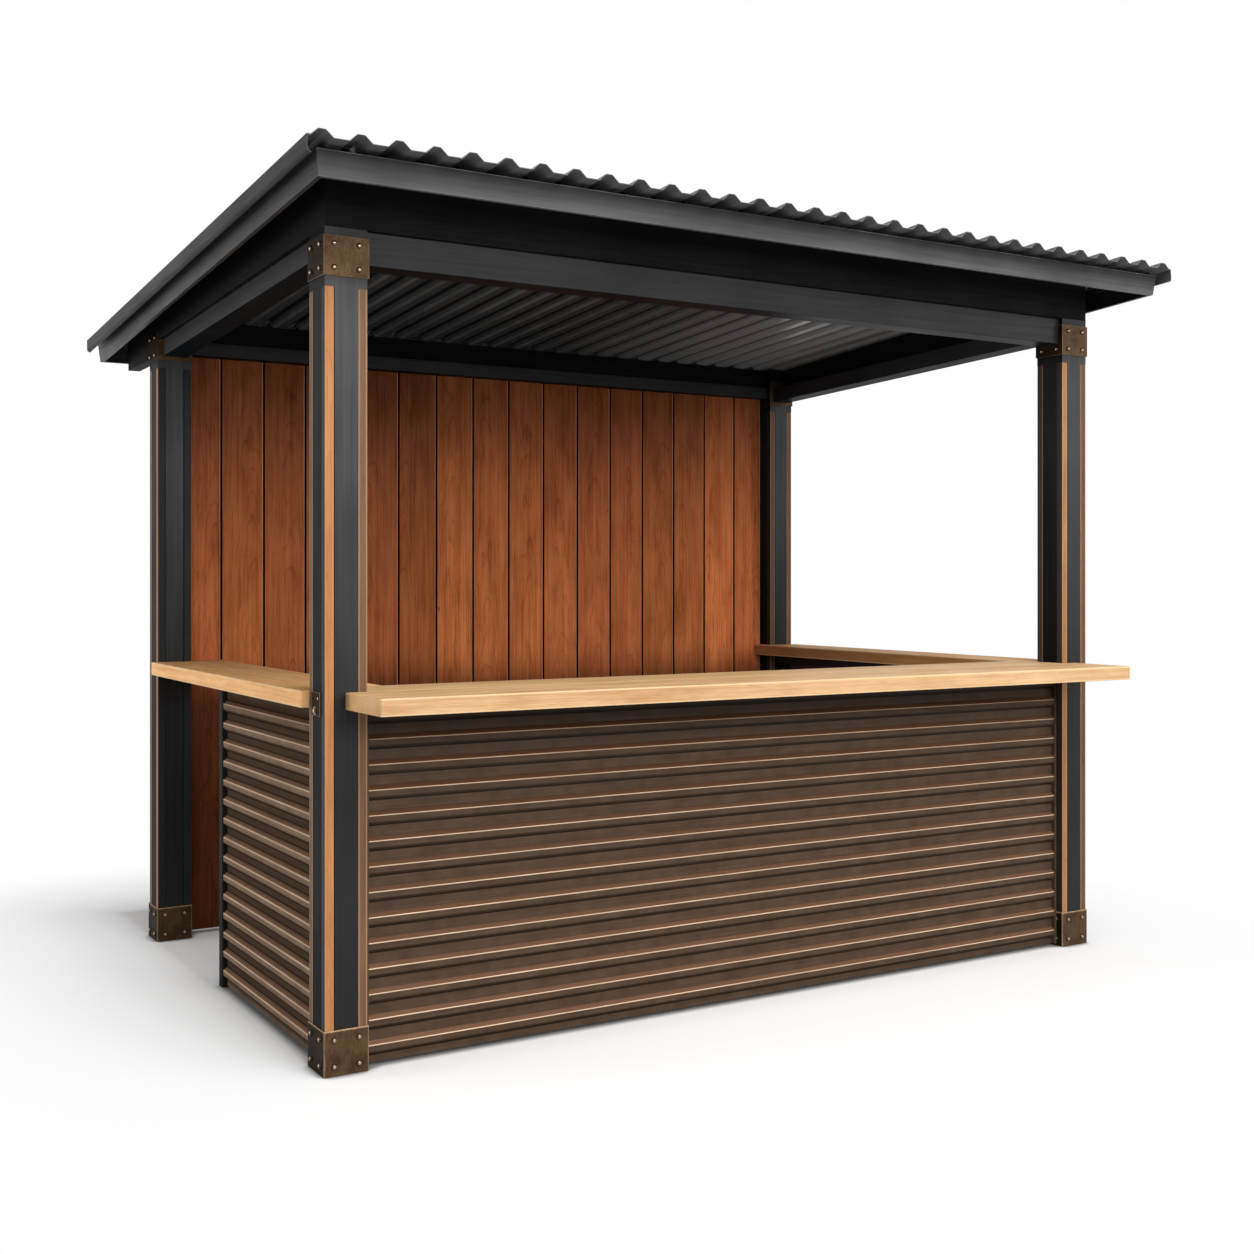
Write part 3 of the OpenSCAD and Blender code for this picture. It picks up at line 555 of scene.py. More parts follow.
def bar(low, high, axis, radius, ease, **facts):
    """A squared bar between two corners with rounded long edges and eased ends."""
    u, v, w = ORDER[axis]
    corners = [(low[u], low[v]), (high[u], low[v]), (high[u], high[v]), (low[u], high[v])]
    outline, tags = rounded(corners, radius, BAR_STEPS, BAR_GUARD)
    stations, insets = eased(low[w], high[w], ease)
    made = carry(outline, tags, axis, stations, insets, **facts)
    made["tags"]["across"] = made["points"][:, u] - (low[u] + high[u]) / 2
    made["tags"]["depth"] = made["points"][:, v] - (low[v] + high[v]) / 2
    return made


GOLDEN = 0.618034


def seeds(count, start=0.0):
    """Numbers from 0 to 1 that spread evenly without repeating: steps of the golden ratio."""
    return np.mod(start + GOLDEN * np.arange(1, count + 1), 1.0)


print("sweep helpers ready")

# %% Turn parts into a piece
SHARP_ANGLE = math.radians(40)


def piece(name, parts, finish, replaced=()):
    """One object from several swept parts: points and faces are joined, tags become point attributes."""
    sizes = np.cumsum([0] + [len(part["points"]) for part in parts])
    points = np.concatenate([part["points"] for part in parts])
    faces = [[i + start for i in face] for part, start in zip(parts, sizes) for face in part["faces"]]
    mesh = bpy.data.meshes.new(name)
    mesh.from_pydata(points.tolist(), [], faces)
    for key in parts[0]["tags"]:
        values = np.concatenate([part["tags"][key] for part in parts]).astype(np.float32)
        mesh.attributes.new(key, "FLOAT", "POINT").data.foreach_set("value", values)
    mesh.polygons.foreach_set("use_smooth", np.ones(len(mesh.polygons), bool))
    mesh.set_sharp_from_angle(angle=SHARP_ANGLE)
    mesh.materials.append(finish)
    made = bpy.data.objects.new(name, mesh)
    scene.collection.objects.link(made)
    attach(made, "root")
    if replaced:
        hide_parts(*replaced)
    print(name, len(points), "points", len(faces), "faces")


# %% [markdown]
# ## The frame as packed
# Posts, beams, lintels, side and back fascias, barges, brackets and the counter's frame already have the
# right shape, so they stay as they are. They only need edges that catch the light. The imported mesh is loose
# triangles: Weld joins them, Bevel eases the edges that turn by more than 35 degrees, and Weighted Normal
# keeps the flats flat.

# %% Ease and paint the frame
WELD, EASE_ANGLE, EASE_STEPS, EASE_WIDTH = 0.00002, math.radians(35), 2, 0.0015


def ease_node(name, finish, width, edge=None):
    """Weld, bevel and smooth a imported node, and give it a finish, and its eased edges another."""
    thing = nodes[name]
    thing.modifiers.new("weld", "WELD").merge_threshold = WELD
    bevel = thing.modifiers.new("ease", "BEVEL")
    bevel.width, bevel.segments = width, EASE_STEPS
    bevel.limit_method, bevel.angle_limit = "ANGLE", EASE_ANGLE
    thing.modifiers.new("even", "WEIGHTED_NORMAL").keep_sharp = False
    thing.data.materials.clear()
    thing.data.materials.append(finish)
    if edge:
        thing.data.materials.append(edge)
        bevel.material = 1


CORNERS = ("front_left", "front_right", "back_left", "back_right")
eased_nodes = {
    paint_up: [corner + "_post" for corner in CORNERS] + ["counter_studs"],
    paint_across: ["front_lintel", "back_lintel", "back_battens", "counter_rails"],
    paint_deep: ["left_lintel", "right_lintel"],
    matt_shaded_across: ["front_beam", "back_beam"],
    matt_shaded_deep: ["left_beam", "right_beam"],
    fascia_across: ["back_fascia"],
    roof_deep: ["left_fascia", "right_fascia"],
    barge_deep: ["left_barge", "right_barge"],
    plate_finish: [corner + "_bracket" for corner in CORNERS] + ["worktop_plate"],
    clad_across: ["cladding_trims"],
}
# Lighter finishes on eased edges: painted highlight on plates and barges, with rubbing on the plates.
RIMS = {plate_finish: plate_edge, barge_deep: roof_rim}
EASE = {plate_finish: 0.0008, fascia_across: 0.001, roof_deep: 0.0006, barge_deep: 0.0006,
        clad_across: 0.0012}
for finish, names in eased_nodes.items():
    for name in names:
        ease_node(name, finish, EASE.get(finish, EASE_WIDTH), RIMS.get(finish))
print("eased nodes", sum(len(names) for names in eased_nodes.values()))

# %% [markdown]
# ## Back wall
# The imported wall is one grooved panel. The real one is sixteen boards, a few of them wider or narrower, with
# a dark joint between them. Each board is a rectangle with rounded edges and a thin tongue that closes the
# joint behind, carried up. Its front right edge carries a painted highlight, and its front left edge painted
# shade.

# %% Boards
BOARD_W, FIRST_BOARD, WIDE_START, WIDE_N, WIDE_EXTRA = 0.1708, 0.137, 3, 2, 0.031
INNER_X, SEAM_W, SEAM_DEPTH, TONGUE_LAP = 1.375, 0.005, 0.007, 0.001
BOARD_R, BOARD_LIT_R, BOARD_GUARD, BOARD_EASE, BOARD_SEED = 0.0026, 0.0045, 0.001, 0.001, 0.3
BOARD_STEPS, LIT_CORNER = 2, 1
BOARD_POINTS = per_corner(BOARD_STEPS)
# How far each point of a board's four outer corners lies in the joint colour, which is the dark joint and
# painted shade on the front left edge: before, on and after the rounding.
JOINT_AND_SHADE = np.array([(1, 1, 1, 1, 0), (0, 0, 0, 0.5, 1), (1, 1, 1, 1, 0), (0, 1, 1, 1, 1)], float)
wall_low, wall_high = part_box("back_wall")
y0, y1 = wall_low.y, wall_high.y
count = int((2 * INNER_X - FIRST_BOARD - WIDE_N * WIDE_EXTRA) / BOARD_W) + 1
index = np.arange(count)
extra = np.clip(index + 1 - WIDE_START, 0, WIDE_N) * WIDE_EXTRA
joints = FIRST_BOARD + index * BOARD_W + extra - INNER_X
left_edges = np.concatenate([[wall_low.x], joints + SEAM_W / 2])
right_edges = np.concatenate([joints - SEAM_W / 2, [wall_high.x]])
boards = []
for x0, x1, seed in zip(left_edges, right_edges, seeds(count + 1, BOARD_SEED)):
    tongue = min(x1 + SEAM_W + TONGUE_LAP, wall_high.x)
    tongue_corners = [(x1, y0 + SEAM_DEPTH), (tongue, y0 + SEAM_DEPTH),
                      (tongue, y1 - SEAM_DEPTH), (x1, y1 - SEAM_DEPTH)]
    if tongue == wall_high.x:
        tongue_corners = []
    corners = [(x0, y0), (x1, y0), *tongue_corners, (x1, y1), (x0, y1)]
    # The front right edge gets a painted highlight.
    worn_and_lit = np.arange(len(corners)) == LIT_CORNER
    outline, tags = rounded(corners, np.where(worn_and_lit, BOARD_LIT_R, BOARD_R), BOARD_STEPS, BOARD_GUARD)
    tags["wear"] *= np.repeat(worn_and_lit, BOARD_POINTS)
    tags["joint"] = np.concatenate([*JOINT_AND_SHADE[:2], np.ones(len(tongue_corners) * BOARD_POINTS), *JOINT_AND_SHADE[2:]])
    board = carry(outline, tags, "z", *eased(wall_low.z, wall_high.z, BOARD_EASE), seed=seed)
    board["tags"]["across"] = board["points"][:, 0] - (x0 + x1) / 2
    board["tags"]["depth"] = board["points"][:, 1] - y0
    boards.append(board)
piece("back_boards", boards, board_finish, ["back_wall"])

# %% [markdown]
# ## Worktops
# The worktops are thick oak boards. The front one has one board in front of the posts and one between them,
# and the side ones have one outside the posts' inner faces and one inside. Every board is a bar of its own
# with its own seed, so the joints and the end grain show where a joiner would have them.

# %% Staves
TOP_R, TOP_EASE, FRONT_SEED, SIDE_SEED, SIDE_SEED_STEP = 0.0022, 0.002, 0.1, 0.37, 0.2
HANDS = ((-1, "left"), (1, "right"))
front_low, front_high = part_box("front_worktop")
post_low, post_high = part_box("front_left_post")
back_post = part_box("back_left_post")[0]
rows = [(front_low.y, post_low.y, front_high.x), (post_low.y, front_high.y, INNER_X)]
staves = [bar((-x, y0, front_low.z), (x, y1, front_high.z), "x", TOP_R, TOP_EASE, seed=seed)
          for (y0, y1, x), seed in zip(rows, seeds(2, FRONT_SEED))]
piece("front_oak_top", staves, oak_across, ["front_worktop"])
for side, name in HANDS:
    low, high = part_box(name + "_worktop")
    edge, inner = (low.x, high.x) if side < 0 else (high.x, low.x)
    spans = [(edge, side * INNER_X, post_high.y, back_post.y), (side * INNER_X, inner, front_high.y, high.y)]
    staves = [bar((min(a, b), y0, low.z), (max(a, b), y1, high.z), "y", TOP_R, TOP_EASE, seed=seed)
              for (a, b, y0, y1), seed in zip(spans, seeds(2, SIDE_SEED + SIDE_SEED_STEP * side))]
    piece(name + "_oak_top", staves, oak_deep, [name + "_worktop"])

# %% [markdown]
# ## Corner strips
# A strip of timber is let into each corner of each post. It is a bar from the boot's plate to just under the
# bracket. Its faces don't look alike: some are still oiled and orange, some have aged brown, and some were
# painted over with the post. Each strip carries a tone for its front and back and one for its sides: 0 is
# oiled, 0.5 aged, 1 painted.

# %% Strips
STRIP_W, STRIP_R, STRIP_EASE, STRIP_SEED_STEP = 0.027, 0.0018, 0.002, 0.23
TONES = {"front_left": ((0.0, 1.0), (0.5, 0.5), (0.5, 0.5), (0.5, 0.55)),
         "front_right": ((0.2, 0.9), (0.65, 0.5), (0.5, 0.5), (0.5, 0.85)),
         "back_left": ((1.0, 0.3), (1.0, 1.0), (0.5, 0.5), (0.5, 0.6)),
         "back_right": ((0.65, 1.0), (0.4, 0.5), (0.5, 0.5), (0.5, 1.0))}
for number, corner in enumerate(CORNERS):
    low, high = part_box(corner + "_strips")
    left, right = low.x, high.x - STRIP_W
    front, back = low.y, high.y - STRIP_W
    starts = ((left, front), (right, front), (right, back), (left, back))
    strips = [bar((x, y, low.z), (x + STRIP_W, y + STRIP_W, high.z), "z", STRIP_R, STRIP_EASE, seed=seed,
                  front_tone=tone[0], side_tone=tone[1])
              for (x, y), seed, tone in zip(starts, seeds(4, STRIP_SEED_STEP * number), TONES[corner])]
    piece(corner + "_timber", strips, strip_finish, [corner + "_strips"])

# %% [markdown]
# ## Folded sheet
# Roof sheet and cladding are one thin line of folds. The line is rounded at each fold, a second line follows
# it one sheet thickness behind, and the closed strip between them is carried along. Rounded folds give the
# sheet its soft bright lines, which a sharp fold can't.

# %% Sheet profiles
FOLD_STEPS = 3


def folded(line, radius, thickness, marks, guard):
    """A closed thin outline from an open line of folds: the line's inner corners are rounded. Marks give
    three numbers for each corner and name: before the fold, on it and after it. The far side is the same line
    moved by the thickness along its left-hand direction."""
    line = np.asarray(line, float)
    loop = rounded(line, radius, FOLD_STEPS, guard)[0]
    per = per_corner(FOLD_STEPS)
    near = np.concatenate([line[:1], loop[per:-per], line[-1:]])
    along = np.gradient(near, axis=0)
    left = unit(np.stack([-along[:, 1], along[:, 0]], 1))
    tags = {}
    for key, rows in marks.items():
        values = np.repeat(rows, (1, FOLD_STEPS + 1, 1), axis=1)[1:-1].ravel()
        tags[key] = np.concatenate([[0.0], values, np.zeros(len(near) + 1)])
    return np.concatenate([near, (near + left * thickness)[::-1]]), tags


def every_ridge(line, marks):
    """The marks of one ridge for all ridges of a line, with none at the line's two ends."""
    none, count = np.zeros((1, 3)), (len(line) - 2) // 4
    return {key: np.concatenate([none, np.tile(rows, (count, 1)), none]) for key, rows in marks.items()}


# %% Ridges of the cladding
CLAD_INSET, CLAD_DEPTH, CLAD_T, CLAD_GAP, FIRST_RIDGE = 0.027, 0.013, 0.002, 0.008, 0.059
RIDGE_W, FLANK_W = 0.017, 0.012
FRONT_PITCH, SIDE_PITCH, FRONT_FLAT, SIDE_FLAT = 0.072, 0.064, 0.004, 0.040


def ridges(pitch, top, flat):
    """The cladding's line as depth behind the ridges and height: ridges at equal spacing, and a plain band on
    top."""
    foot = FIRST_RIDGE - RIDGE_W - FLANK_W
    ridge = RIDGE_W + 2 * FLANK_W
    last = math.floor((top - flat - ridge - foot) / pitch)
    folds = np.array([0, FLANK_W, FLANK_W + RIDGE_W, ridge])
    heights = foot + pitch * np.arange(last + 1)[:, None] + folds
    depths = np.broadcast_to([CLAD_DEPTH, 0, 0, CLAD_DEPTH], heights.shape)
    middle = np.stack([depths.ravel(), heights.ravel()], 1)
    return np.concatenate([[[CLAD_DEPTH, CLAD_GAP]], middle, [[CLAD_DEPTH, top]]])


# The four folds of a ridge from its foot up: before, on and after each fold. The bright line on the upper
# arris is painted highlight with some rubbing, the copper on the upper flank a painted reflection, and the
# dark at the feet deposits and painted shade.
FRONT_MARKS = {"wear": [(0, 0, 0.02), (0.05, 0.02, 0), (0, 1, 0), (0, 0, 0)],
               "flank": [(0, 0, 0), (0, 0, 0), (0, 0, 1), (0.9, 0.5, 0)],
               "grime_and_shade": [(0, 1.0, 0.9), (0.55, 0, 0), (0, 0, 0), (0, 0.45, 0)]}
SIDE_MARKS = {"wear": [(0, 0, 0), (0, 0.05, 0.06), (0.16, 1.0, 0.10), (0, 0, 0)],
              "flank": [(0, 0, 0), (0, 0, 0), (0, 0, 0.6), (0.6, 0.3, 0)],
              "grime_and_shade": [(0.7, 1.0, 0.8), (0.3, 0, 0), (0, 0, 0), (0.2, 0.95, 0.7)]}
print("ridge spacing", FRONT_PITCH, "in front and", SIDE_PITCH, "at the sides")

# %% Cladding
FOLD_R, GROOVE_R, FRONT_GUARD, SIDE_GUARD = 0.0024, 0.0030, 0.0012, 0.002
low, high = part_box("front_cladding")
line = ridges(FRONT_PITCH, front_low.z, FRONT_FLAT)
section = np.stack([post_low.y + CLAD_INSET + line[:, 0], line[:, 1]], 1)
bends = np.full(len(line), FOLD_R)
bends[1:-1:4] = GROOVE_R
outline, tags = folded(section, bends, -CLAD_T, every_ridge(line, FRONT_MARKS), FRONT_GUARD)
sheet = carry(outline, tags, "x", [low.x, high.x])
piece("front_ribbed_sheet", [sheet], clad_across, ["front_cladding"])
line = ridges(SIDE_PITCH, front_low.z, SIDE_FLAT)
for side, name in HANDS:
    low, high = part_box(name + "_cladding")
    outer = low.x if side < 0 else high.x
    section = np.stack([outer - side * line[:, 0], line[:, 1]], 1)
    outline, tags = folded(section, FOLD_R, side * CLAD_T, every_ridge(line, SIDE_MARKS), SIDE_GUARD)
    sheet = carry(outline, tags, "y", [low.y, high.y])
    piece(name + "_ribbed_sheet", [sheet], clad_deep, [name + "_cladding"])

# %% [markdown]
# ## Roof sheet
# The same fold recipe makes the roof: thirty-one ribs between two flat edges. The section is drawn level,
# carried along Y, then laid on the slope by turning it about X, so its ends stay square to the slope. The lip
# outside the fascias has no painted shade. Behind them the sheet's underside is darkened as painted shade,
# darkest in the ribs' hollows, and towards the right opening it turns to a pale painted sheen.

# %% The roof's section
PITCH, ROOF_H, RIB_N, RIB_H, SHEET_T = 3.75, 2.493, 31, 0.020, 0.002
RIB_CROWN, RIB_BASE, EDGE_FLAT, RIB_R, RIB_GUARD = 0.020, 0.063, 0.008, 0.005, 0.010
RIB_MARKS = {"wear": [(0, 0, 0), (0, 0, 0), (0, 0, 0), (0, 0.6, 0)],
             "under": [(1, 1, 1)] * 4,
             "soot": [(0.8, 0.9, 1), (1, 1, 1), (1, 1, 0.8), (0.8, 0.78, 0.8)]}
slope = math.radians(PITCH)
sheet_low, sheet_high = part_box("roof_sheet")
half, front_edge = sheet_high.x, sheet_low.y
length = (sheet_high.y - front_edge - (RIB_H + SHEET_T) * math.sin(slope)) / math.cos(slope)
first_rib = RIB_BASE / 2 + EDGE_FLAT - half
rib_x = np.linspace(first_rib, -first_rib, RIB_N)[:, None]
rib = np.array([-RIB_BASE / 2, -RIB_CROWN / 2, RIB_CROWN / 2, RIB_BASE / 2])
levels = np.broadcast_to([0.0, RIB_H, RIB_H, 0.0], (RIB_N, 4))
middle = np.stack([(rib_x + rib).ravel(), levels.ravel()], 1)
line = np.concatenate([[[-half, 0.0]], middle, [[half, 0.0]]])
outline, tags = folded(line, RIB_R, SHEET_T, every_ridge(line, RIB_MARKS), RIB_GUARD)
print("roof section", len(outline), "points, length on the slope", round(length, 4))


# %% Ribbed roof
def roof_z(y):
    """Height of the sheet's underside."""
    return ROOF_H - (y - post_low.y) * math.tan(slope)


def on_slope(part):
    """Lays a level part on the roof's slope: its Y becomes the way down the slope and its Z the way up from
    it."""
    down, up = part["points"][:, 1].copy(), part["points"][:, 2].copy()
    part["points"][:, 1] = front_edge + down * math.cos(slope) + up * math.sin(slope)
    part["points"][:, 2] = roof_z(front_edge) - down * math.sin(slope) + up * math.cos(slope)
    return part


LIP_END, LIP_STEP, LIP_SIDE = 0.112, 0.004, 1.56
SHEEN_FROM, SHEEN_OVER, SHEEN_POWER = 0.1, 0.9, 4.0
sheet = on_slope(carry(outline, tags, "y", [0.0, LIP_END, LIP_END + LIP_STEP, length / 2, length]))
across = sheet["points"][:, 0]
# Painted shade behind the fascias, weaker towards the right opening, where the reverse shows as a painted
# sheen.
behind = np.repeat([0.0, 0.0, 1.0, 1.0, 1.0], len(outline)) * (np.abs(across) < LIP_SIDE)
power = 1.0 + SHEEN_POWER * np.clip((across - SHEEN_FROM) / SHEEN_OVER, 0.0, 1.0)
sheet["tags"]["soot"] = (sheet["tags"]["soot"] * behind) ** power
piece("ribbed_roof", [sheet], sheet_finish, ["roof_sheet"])
print("roof", [round(v, 4) for v in sheet["points"].min(0)], [round(v, 4) for v in sheet["points"].max(0)])

# %% Rib fillers over the back beam
FILL_FOOT, FILL_TOP, FILL_GAP, FILL_R, FILL_FROM, FILL_TO = 0.027, 0.008, 0.004, 0.001, 0.01, 0.05
start = (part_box("back_beam")[0].y - front_edge) / math.cos(slope)
top = RIB_H - FILL_GAP
fillers = []
for x in rib_x[np.abs(rib_x) < INNER_X]:
    corners = [(x - FILL_FOOT, 0.0), (x + FILL_FOOT, 0.0), (x + FILL_TOP, top), (x - FILL_TOP, top)]
    outline, tags = rounded(corners, FILL_R, 1, FILL_R)
    fillers.append(on_slope(carry(outline, tags, "y", [start + FILL_FROM, start + FILL_TO])))
piece("rib_fillers", fillers, paint_across)

# %% [markdown]
# ## Front fascia
# The front fascia is folded from plate: a leaning face, a lip turned in at the bottom, and a ledge on top
# that runs back to the flange under the sheet. The ledge leaves a shadow gap, through which the ribs' hollows
# show from below, and the face is darkened towards it as painted shade. The section is carried along the
# front, and both ends are cut to the mitre: the further out, the longer.

# %% Fascia
FASCIA_X, FASCIA_Y, FACE_H, LEAN, GAP, LEDGE = 1.600, -1.2815, 0.070, 0.008, 0.017, 0.070
FLANGE, LIP, PLATE_T = 0.024, 0.014, 0.003
FASCIA_R, FASCIA_STEPS, FASCIA_GUARD, FASCIA_SHADE = 0.0012, 2, 0.001, 0.95
foot, back = -GAP - FACE_H, LEAN - LEDGE
section = np.array([(0, foot), (LEAN, -GAP), (back, -GAP), (back, 0), (back - FLANGE, 0),
                    (back - FLANGE, -PLATE_T), (back - PLATE_T, -PLATE_T), (back - PLATE_T, -GAP - PLATE_T),
                    (LEAN - PLATE_T, -GAP - PLATE_T), (-PLATE_T, foot + PLATE_T), (-LIP, foot + PLATE_T),
                    (-LIP, foot)])
depth = FASCIA_Y - section[:, 0]
corners = np.stack([depth, roof_z(depth) + section[:, 1]], 1)
outline, tags = rounded(corners, FASCIA_R, FASCIA_STEPS, FASCIA_GUARD)
# Painted shade on the face, darkest at its top under the lip.
lip_shade = np.where(section[:, 1] == -GAP, FASCIA_SHADE, 0.0)
tags["soot"] = np.repeat(lip_shade, per_corner(FASCIA_STEPS))
fascia = carry(outline, tags, "x", [-1.0, 1.0])
fascia["points"][:, 0] *= FASCIA_X + FASCIA_Y - fascia["points"][:, 1]
piece("front_folded_fascia", [fascia], front_fascia, ["front_fascia"])

# %% [markdown]
# ## Boots
# A boot is a square cup folded from plate. Its corners are rounded by the fold, and its rim and folds carry a
# painted highlight with some rubbing. It is one outline carried up the outside, over the rim and down the
# inside: only the insets change from ring to ring.

# %% Boots
BOOT_T, BOOT_PLATE, BOOT_R, BOOT_STEPS, BOOT_GUARD, BOOT_WEAR_AND_HIGHLIGHT = 0.004, 0.006, 0.0040, 4, 0.0005, 0.5
FOOT_EASE, RIM_EASE, RIM_LIT_BAND, RIM_BEND = 0.001, 0.0015, 0.005, 0.002
BOOT_INSETS = [FOOT_EASE, 0.0, 0.0, 0.0, RIM_EASE, BOOT_T - FOOT_EASE, BOOT_T]
BOOT_RUBBED_AND_LIT = [0.0, 0.0, 0.0, 0.8, 1.0, 0.6, 0.0]
for corner in CORNERS:
    low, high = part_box(corner + "_boot")
    corners = [(low.x, low.y), (high.x, low.y), (high.x, high.y), (low.x, high.y)]
    outline, tags = rounded(corners, BOOT_R, BOOT_STEPS, BOOT_GUARD)
    tags["wear"] *= BOOT_WEAR_AND_HIGHLIGHT
    stations = [0.0, FOOT_EASE, high.z - RIM_LIT_BAND, high.z - RIM_BEND, high.z, high.z, BOOT_PLATE]
    boot = carry(outline, tags, "z", stations, BOOT_INSETS, BOOT_RUBBED_AND_LIT)
    piece(corner + "_bronze_boot", [boot], plate_finish, [corner + "_boot"])

# %% [markdown]
# ## Rivets and bolts
# Each plate is held by domed rivets, four to an open face and two where a beam covers its upper half. A dome
# is a short profile turned about its own axis: radius and height at a few rings, times a circle. All rivets
# are worked out together, as one array over places, rings and steps.


# %% Domes
def domes(places, normals, profile, steps=12):
    """A turned profile at each place. A point is the place plus the ring's radius times (cosine times up plus
    sine times sideways) plus the ring's height times the normal, where sideways is up crossed with the
    normal."""
    places, normals = np.asarray(places, float), np.asarray(normals, float)
    up = np.array([0.0, 0.0, 1.0])
    sideways = np.cross(up, normals)
    angle = np.linspace(0.0, 2 * np.pi, steps, endpoint=False)
    circle = np.cos(angle)[None, :, None] * up + np.sin(angle)[None, :, None] * sideways[:, None]
    profile = np.asarray(profile, float)
    points = places[:, None, None] + profile[None, :, 0, None, None] * circle[:, None]
    points = points + profile[None, :, 1, None, None] * normals[:, None, None]
    k, m = len(places), len(profile)
    start = (np.arange(k) * m * steps)[:, None, None]
    ring, step = (np.arange(m - 1) * steps)[None, :, None], np.arange(steps)[None, None]
    after = (step + 1) % steps
    quads = np.stack([start + ring + step, start + ring + steps + step, start + ring + steps + after,
                      start + ring + after], -1).reshape(-1, 4)[:, ::-1]
    base = start[:, 0] + np.arange(steps)
    faces = quads.tolist() + base[:, ::-1].tolist() + (base + (m - 1) * steps).tolist()
    rise = np.tile(np.repeat(np.linspace(0.0, 1.0, m), steps), k)
    # Painted highlight with some rubbing towards the dome's top, and painted shade at its foot.
    tags = {"wear": rise ** 4, "grime_and_shade": (1 - rise) ** 2}
    return {"points": points.reshape(-1, 3), "faces": faces, "tags": tags}


SUNK, SKIRT, DOME_END, DOME_RINGS = 0.0005, 0.15, 0.47 * np.pi, 5


def dome(radius, height):
    """Rings of a domed head: an upright skirt, then a quarter ellipse."""
    t = np.linspace(0.0, DOME_END, DOME_RINGS)
    arc = np.stack([radius * np.cos(t), SKIRT * height + (1 - SKIRT) * height * np.sin(t)], 1)
    return np.concatenate([[[radius, -SUNK]], arc])


# %% Rivets
RIVET_R, RIVET_H, RIVET_SPREAD, BOOT_MARGIN, BRACKET_MARGIN = 0.0084, 0.0066, 0.0365, 0.027, 0.022
SIDES = np.array([(0, -1, 0), (1, 0, 0), (0, 1, 0), (-1, 0, 0)], float)


def face_rows(low, high, normal, levels):
    """Two places per level on one upright face of a box, the same distance either side of its middle."""
    middle = np.array([(low.x + high.x) / 2, (low.y + high.y) / 2, 0.0])
    reach = (high.x - low.x) / 2 * abs(normal[0]) + (high.y - low.y) / 2 * abs(normal[1])
    sideways = np.cross((0.0, 0.0, 1.0), normal)
    return [middle + reach * normal + s * RIVET_SPREAD * sideways + np.array([0.0, 0.0, z])
            for z in levels for s in (-1, 1)]


places, normals = [], []
for corner in CORNERS:
    low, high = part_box(corner + "_boot")
    for normal in SIDES:
        rows = face_rows(low, high, normal, (BOOT_MARGIN, high.z - BOOT_MARGIN))
        places, normals = places + rows, normals + [normal] * len(rows)
    low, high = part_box(corner + "_bracket")
    outer_x = -1.0 if "left" in corner else 1.0
    for normal in SIDES:
        outside = normal[0] == outer_x or (normal[1] == -1 and "front" in corner)
        levels = [low.z + BRACKET_MARGIN] if outside or "front" in corner else []
        levels += [high.z - BRACKET_MARGIN] if outside else []
        rows = face_rows(low, high, normal, levels)
        places, normals = places + rows, normals + [normal] * len(rows)
rivets = domes(places, normals, dome(RIVET_R, RIVET_H))
piece("plate_rivets", [rivets], rivet_finish)

# %% Fixings on the worktop plate
# Places as Y and Z, and profiles as radius and height.
PLATE_RIVET_AT, PLATE_BOLT_AT, POST_BOLT_AT = (-1.0125, 1.043), (-0.9865, 1.008), (0.865, 1.0165)
SMALL_R, SMALL_H, WASHER_STEPS, HEAD_STEPS = 0.0055, 0.0035, 20, 6
WASHER = [(0.0125, -SUNK), (0.0125, 0.0012), (0.0118, 0.0018), (0.0070, 0.0018)]
HEAD = [(0.0078, 0.0), (0.0078, 0.0042), (0.0066, 0.0052)]
LEFT = [(-1.0, 0.0, 0.0)]
plate_x, post_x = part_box("worktop_plate")[0].x, back_post.x
small = dome(SMALL_R, SMALL_H)
fixings = [domes([(plate_x, *PLATE_RIVET_AT)], LEFT, small),
           domes([(plate_x, *PLATE_BOLT_AT)], LEFT, WASHER, WASHER_STEPS),
           domes([(plate_x, *PLATE_BOLT_AT)], LEFT, HEAD, HEAD_STEPS),
           domes([(post_x, *POST_BOLT_AT)], LEFT, small)]
piece("worktop_plate_fixings", fixings, rivet_finish)

# %% [markdown]
# ## Floor and light
# A large pale floor runs out of sight, and a white world stands behind it. Both are white to the camera and
# to reflections, and gentler as a light, so that the undersides stay as dark as they are in a studio. Under
# the stall the floor takes shadows, lifted by a slight glow, and goes over to white around it; close to what
# stands on it, an ambient occlusion node darkens it as painted contact shade. A broad low lamp lights the
# front and the boards, a high one the tops and the floor, one at the right the front's right end, and one at
# the left the left side.

# %% Floor
FLOOR_REACH, FLOOR_LIGHT, FLOOR_TONE, FLOOR_GLOW = 60.0, grey(0.70), 0.71, 0.12
SHADED_HALF, CONTACT_REACH, CONTACT_DARK = (1.5, 1.35, 0.0), 0.05, 0.22
floor_mesh = bpy.data.meshes.new("floor")
corners = [(x * FLOOR_REACH, y * FLOOR_REACH, 0) for x, y in ((-1, -1), (1, -1), (1, 1), (-1, 1))]
floor_mesh.from_pydata(corners, [], [(0, 1, 2, 3)])
pale = Finish(bpy.data.materials.new("pale_floor"))
outside = pale.vector("SUBTRACT", pale.vector("ABSOLUTE", pale.place()), SHADED_HALF)
away = pale.vector("LENGTH", pale.vector("MAXIMUM", outside, (0.0, 0.0, 0.0))).node.outputs["Value"]
whiter = pale.calc("MINIMUM", pale.calc("SQRT", away), 1.0)
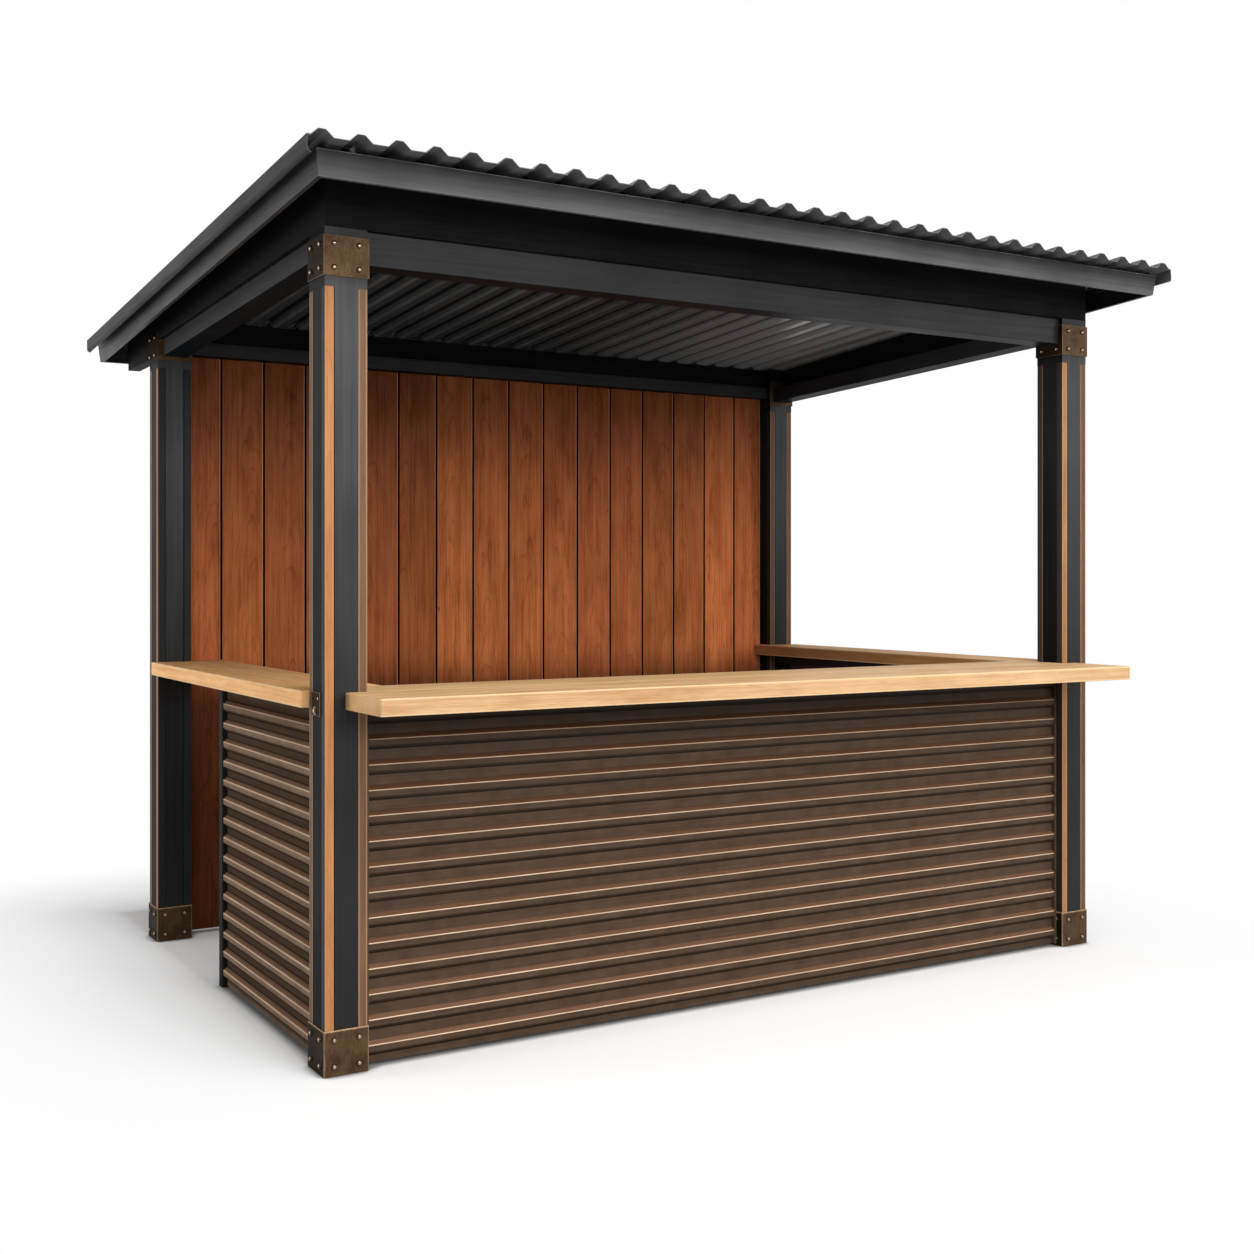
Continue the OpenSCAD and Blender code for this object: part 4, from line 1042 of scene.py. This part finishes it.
# Painted contact shade from ambient occlusion.
open_share = pale.node("AmbientOcclusion", {"Distance": CONTACT_REACH}, "AO")
contact = pale.between(open_share, 0.4, 0.9, CONTACT_DARK, 1.0)
matt = pale.node("BsdfDiffuse", {"Color": pale.calc("MULTIPLY", contact, FLOOR_TONE)})
glow = pale.node("Emission", {"Strength": pale.calc("MULTIPLY", contact, FLOOR_GLOW)})
shaded = pale.node("AddShader", {0: matt, 1: glow})
shown = pale.node("MixShader", {0: whiter, 1: shaded, 2: pale.node("Emission", {"Strength": 1.0})})
bounce = pale.node("BsdfDiffuse", {"Color": FLOOR_LIGHT})
surface = pale.node("MixShader", {0: pale.seen(), 1: bounce, 2: shown})
pale.feed(pale.tree.nodes["Material Output"].inputs["Surface"], surface)
floor_mesh.materials.append(pale.owner)
floor = bpy.data.objects.new("floor", floor_mesh)
scene.collection.objects.link(floor)
print("floor", 2 * FLOOR_REACH, "m")

# %% World
WORLD_LIGHT = 0.30
sky = Finish(bpy.data.worlds.new("studio"))
sky.tree.nodes.clear()
soft = sky.node("Background", {"Color": grey(1), "Strength": WORLD_LIGHT})
white = sky.node("Background", {"Color": grey(1), "Strength": 1.0})
both = sky.node("MixShader", {0: sky.seen(), 1: soft, 2: white})
sky.feed(sky.tree.nodes.new("ShaderNodeOutputWorld").inputs["Surface"], both)
scene.world = sky.owner
print("world light", WORLD_LIGHT)


# %% Lamps
def lamp(name, place, target, wide, tall, power):
    """An oblong lamp that faces a point."""
    data = bpy.data.lights.new(name, "AREA")
    data.shape = "RECTANGLE"
    data.size, data.size_y, data.energy = wide, tall, power
    thing = bpy.data.objects.new(name, data)
    scene.collection.objects.link(thing)
    thing.location = place
    aim = np.asarray(target, float) - np.asarray(place, float)
    tilt = math.acos(-aim[2] / np.linalg.norm(aim))
    thing.rotation_euler = (tilt, 0, math.atan2(aim[1], aim[0]) - math.pi / 2)


# Place, target, width, height and power of each lamp.
LAMPS = {"low_front": ((0.0, -8.5, 2.9), (0.0, -0.6, 1.5), 5.0, 2.0, 300.0),
         "high_front": ((0.0, -4.5, 7.0), (0.0, -0.8, 1.0), 5.0, 5.0, 560.0),
         "right_key": ((7.0, -6.5, 4.0), (0.0, -0.6, 1.2), 3.0, 3.0, 105.0),
         "left_fill": ((-8.0, 2.6, 1.6), (0.0, 0.0, 1.2), 3.0, 3.0, 270.0)}
for name, row in LAMPS.items():
    lamp(name, *row)
print("lamps", len(LAMPS))
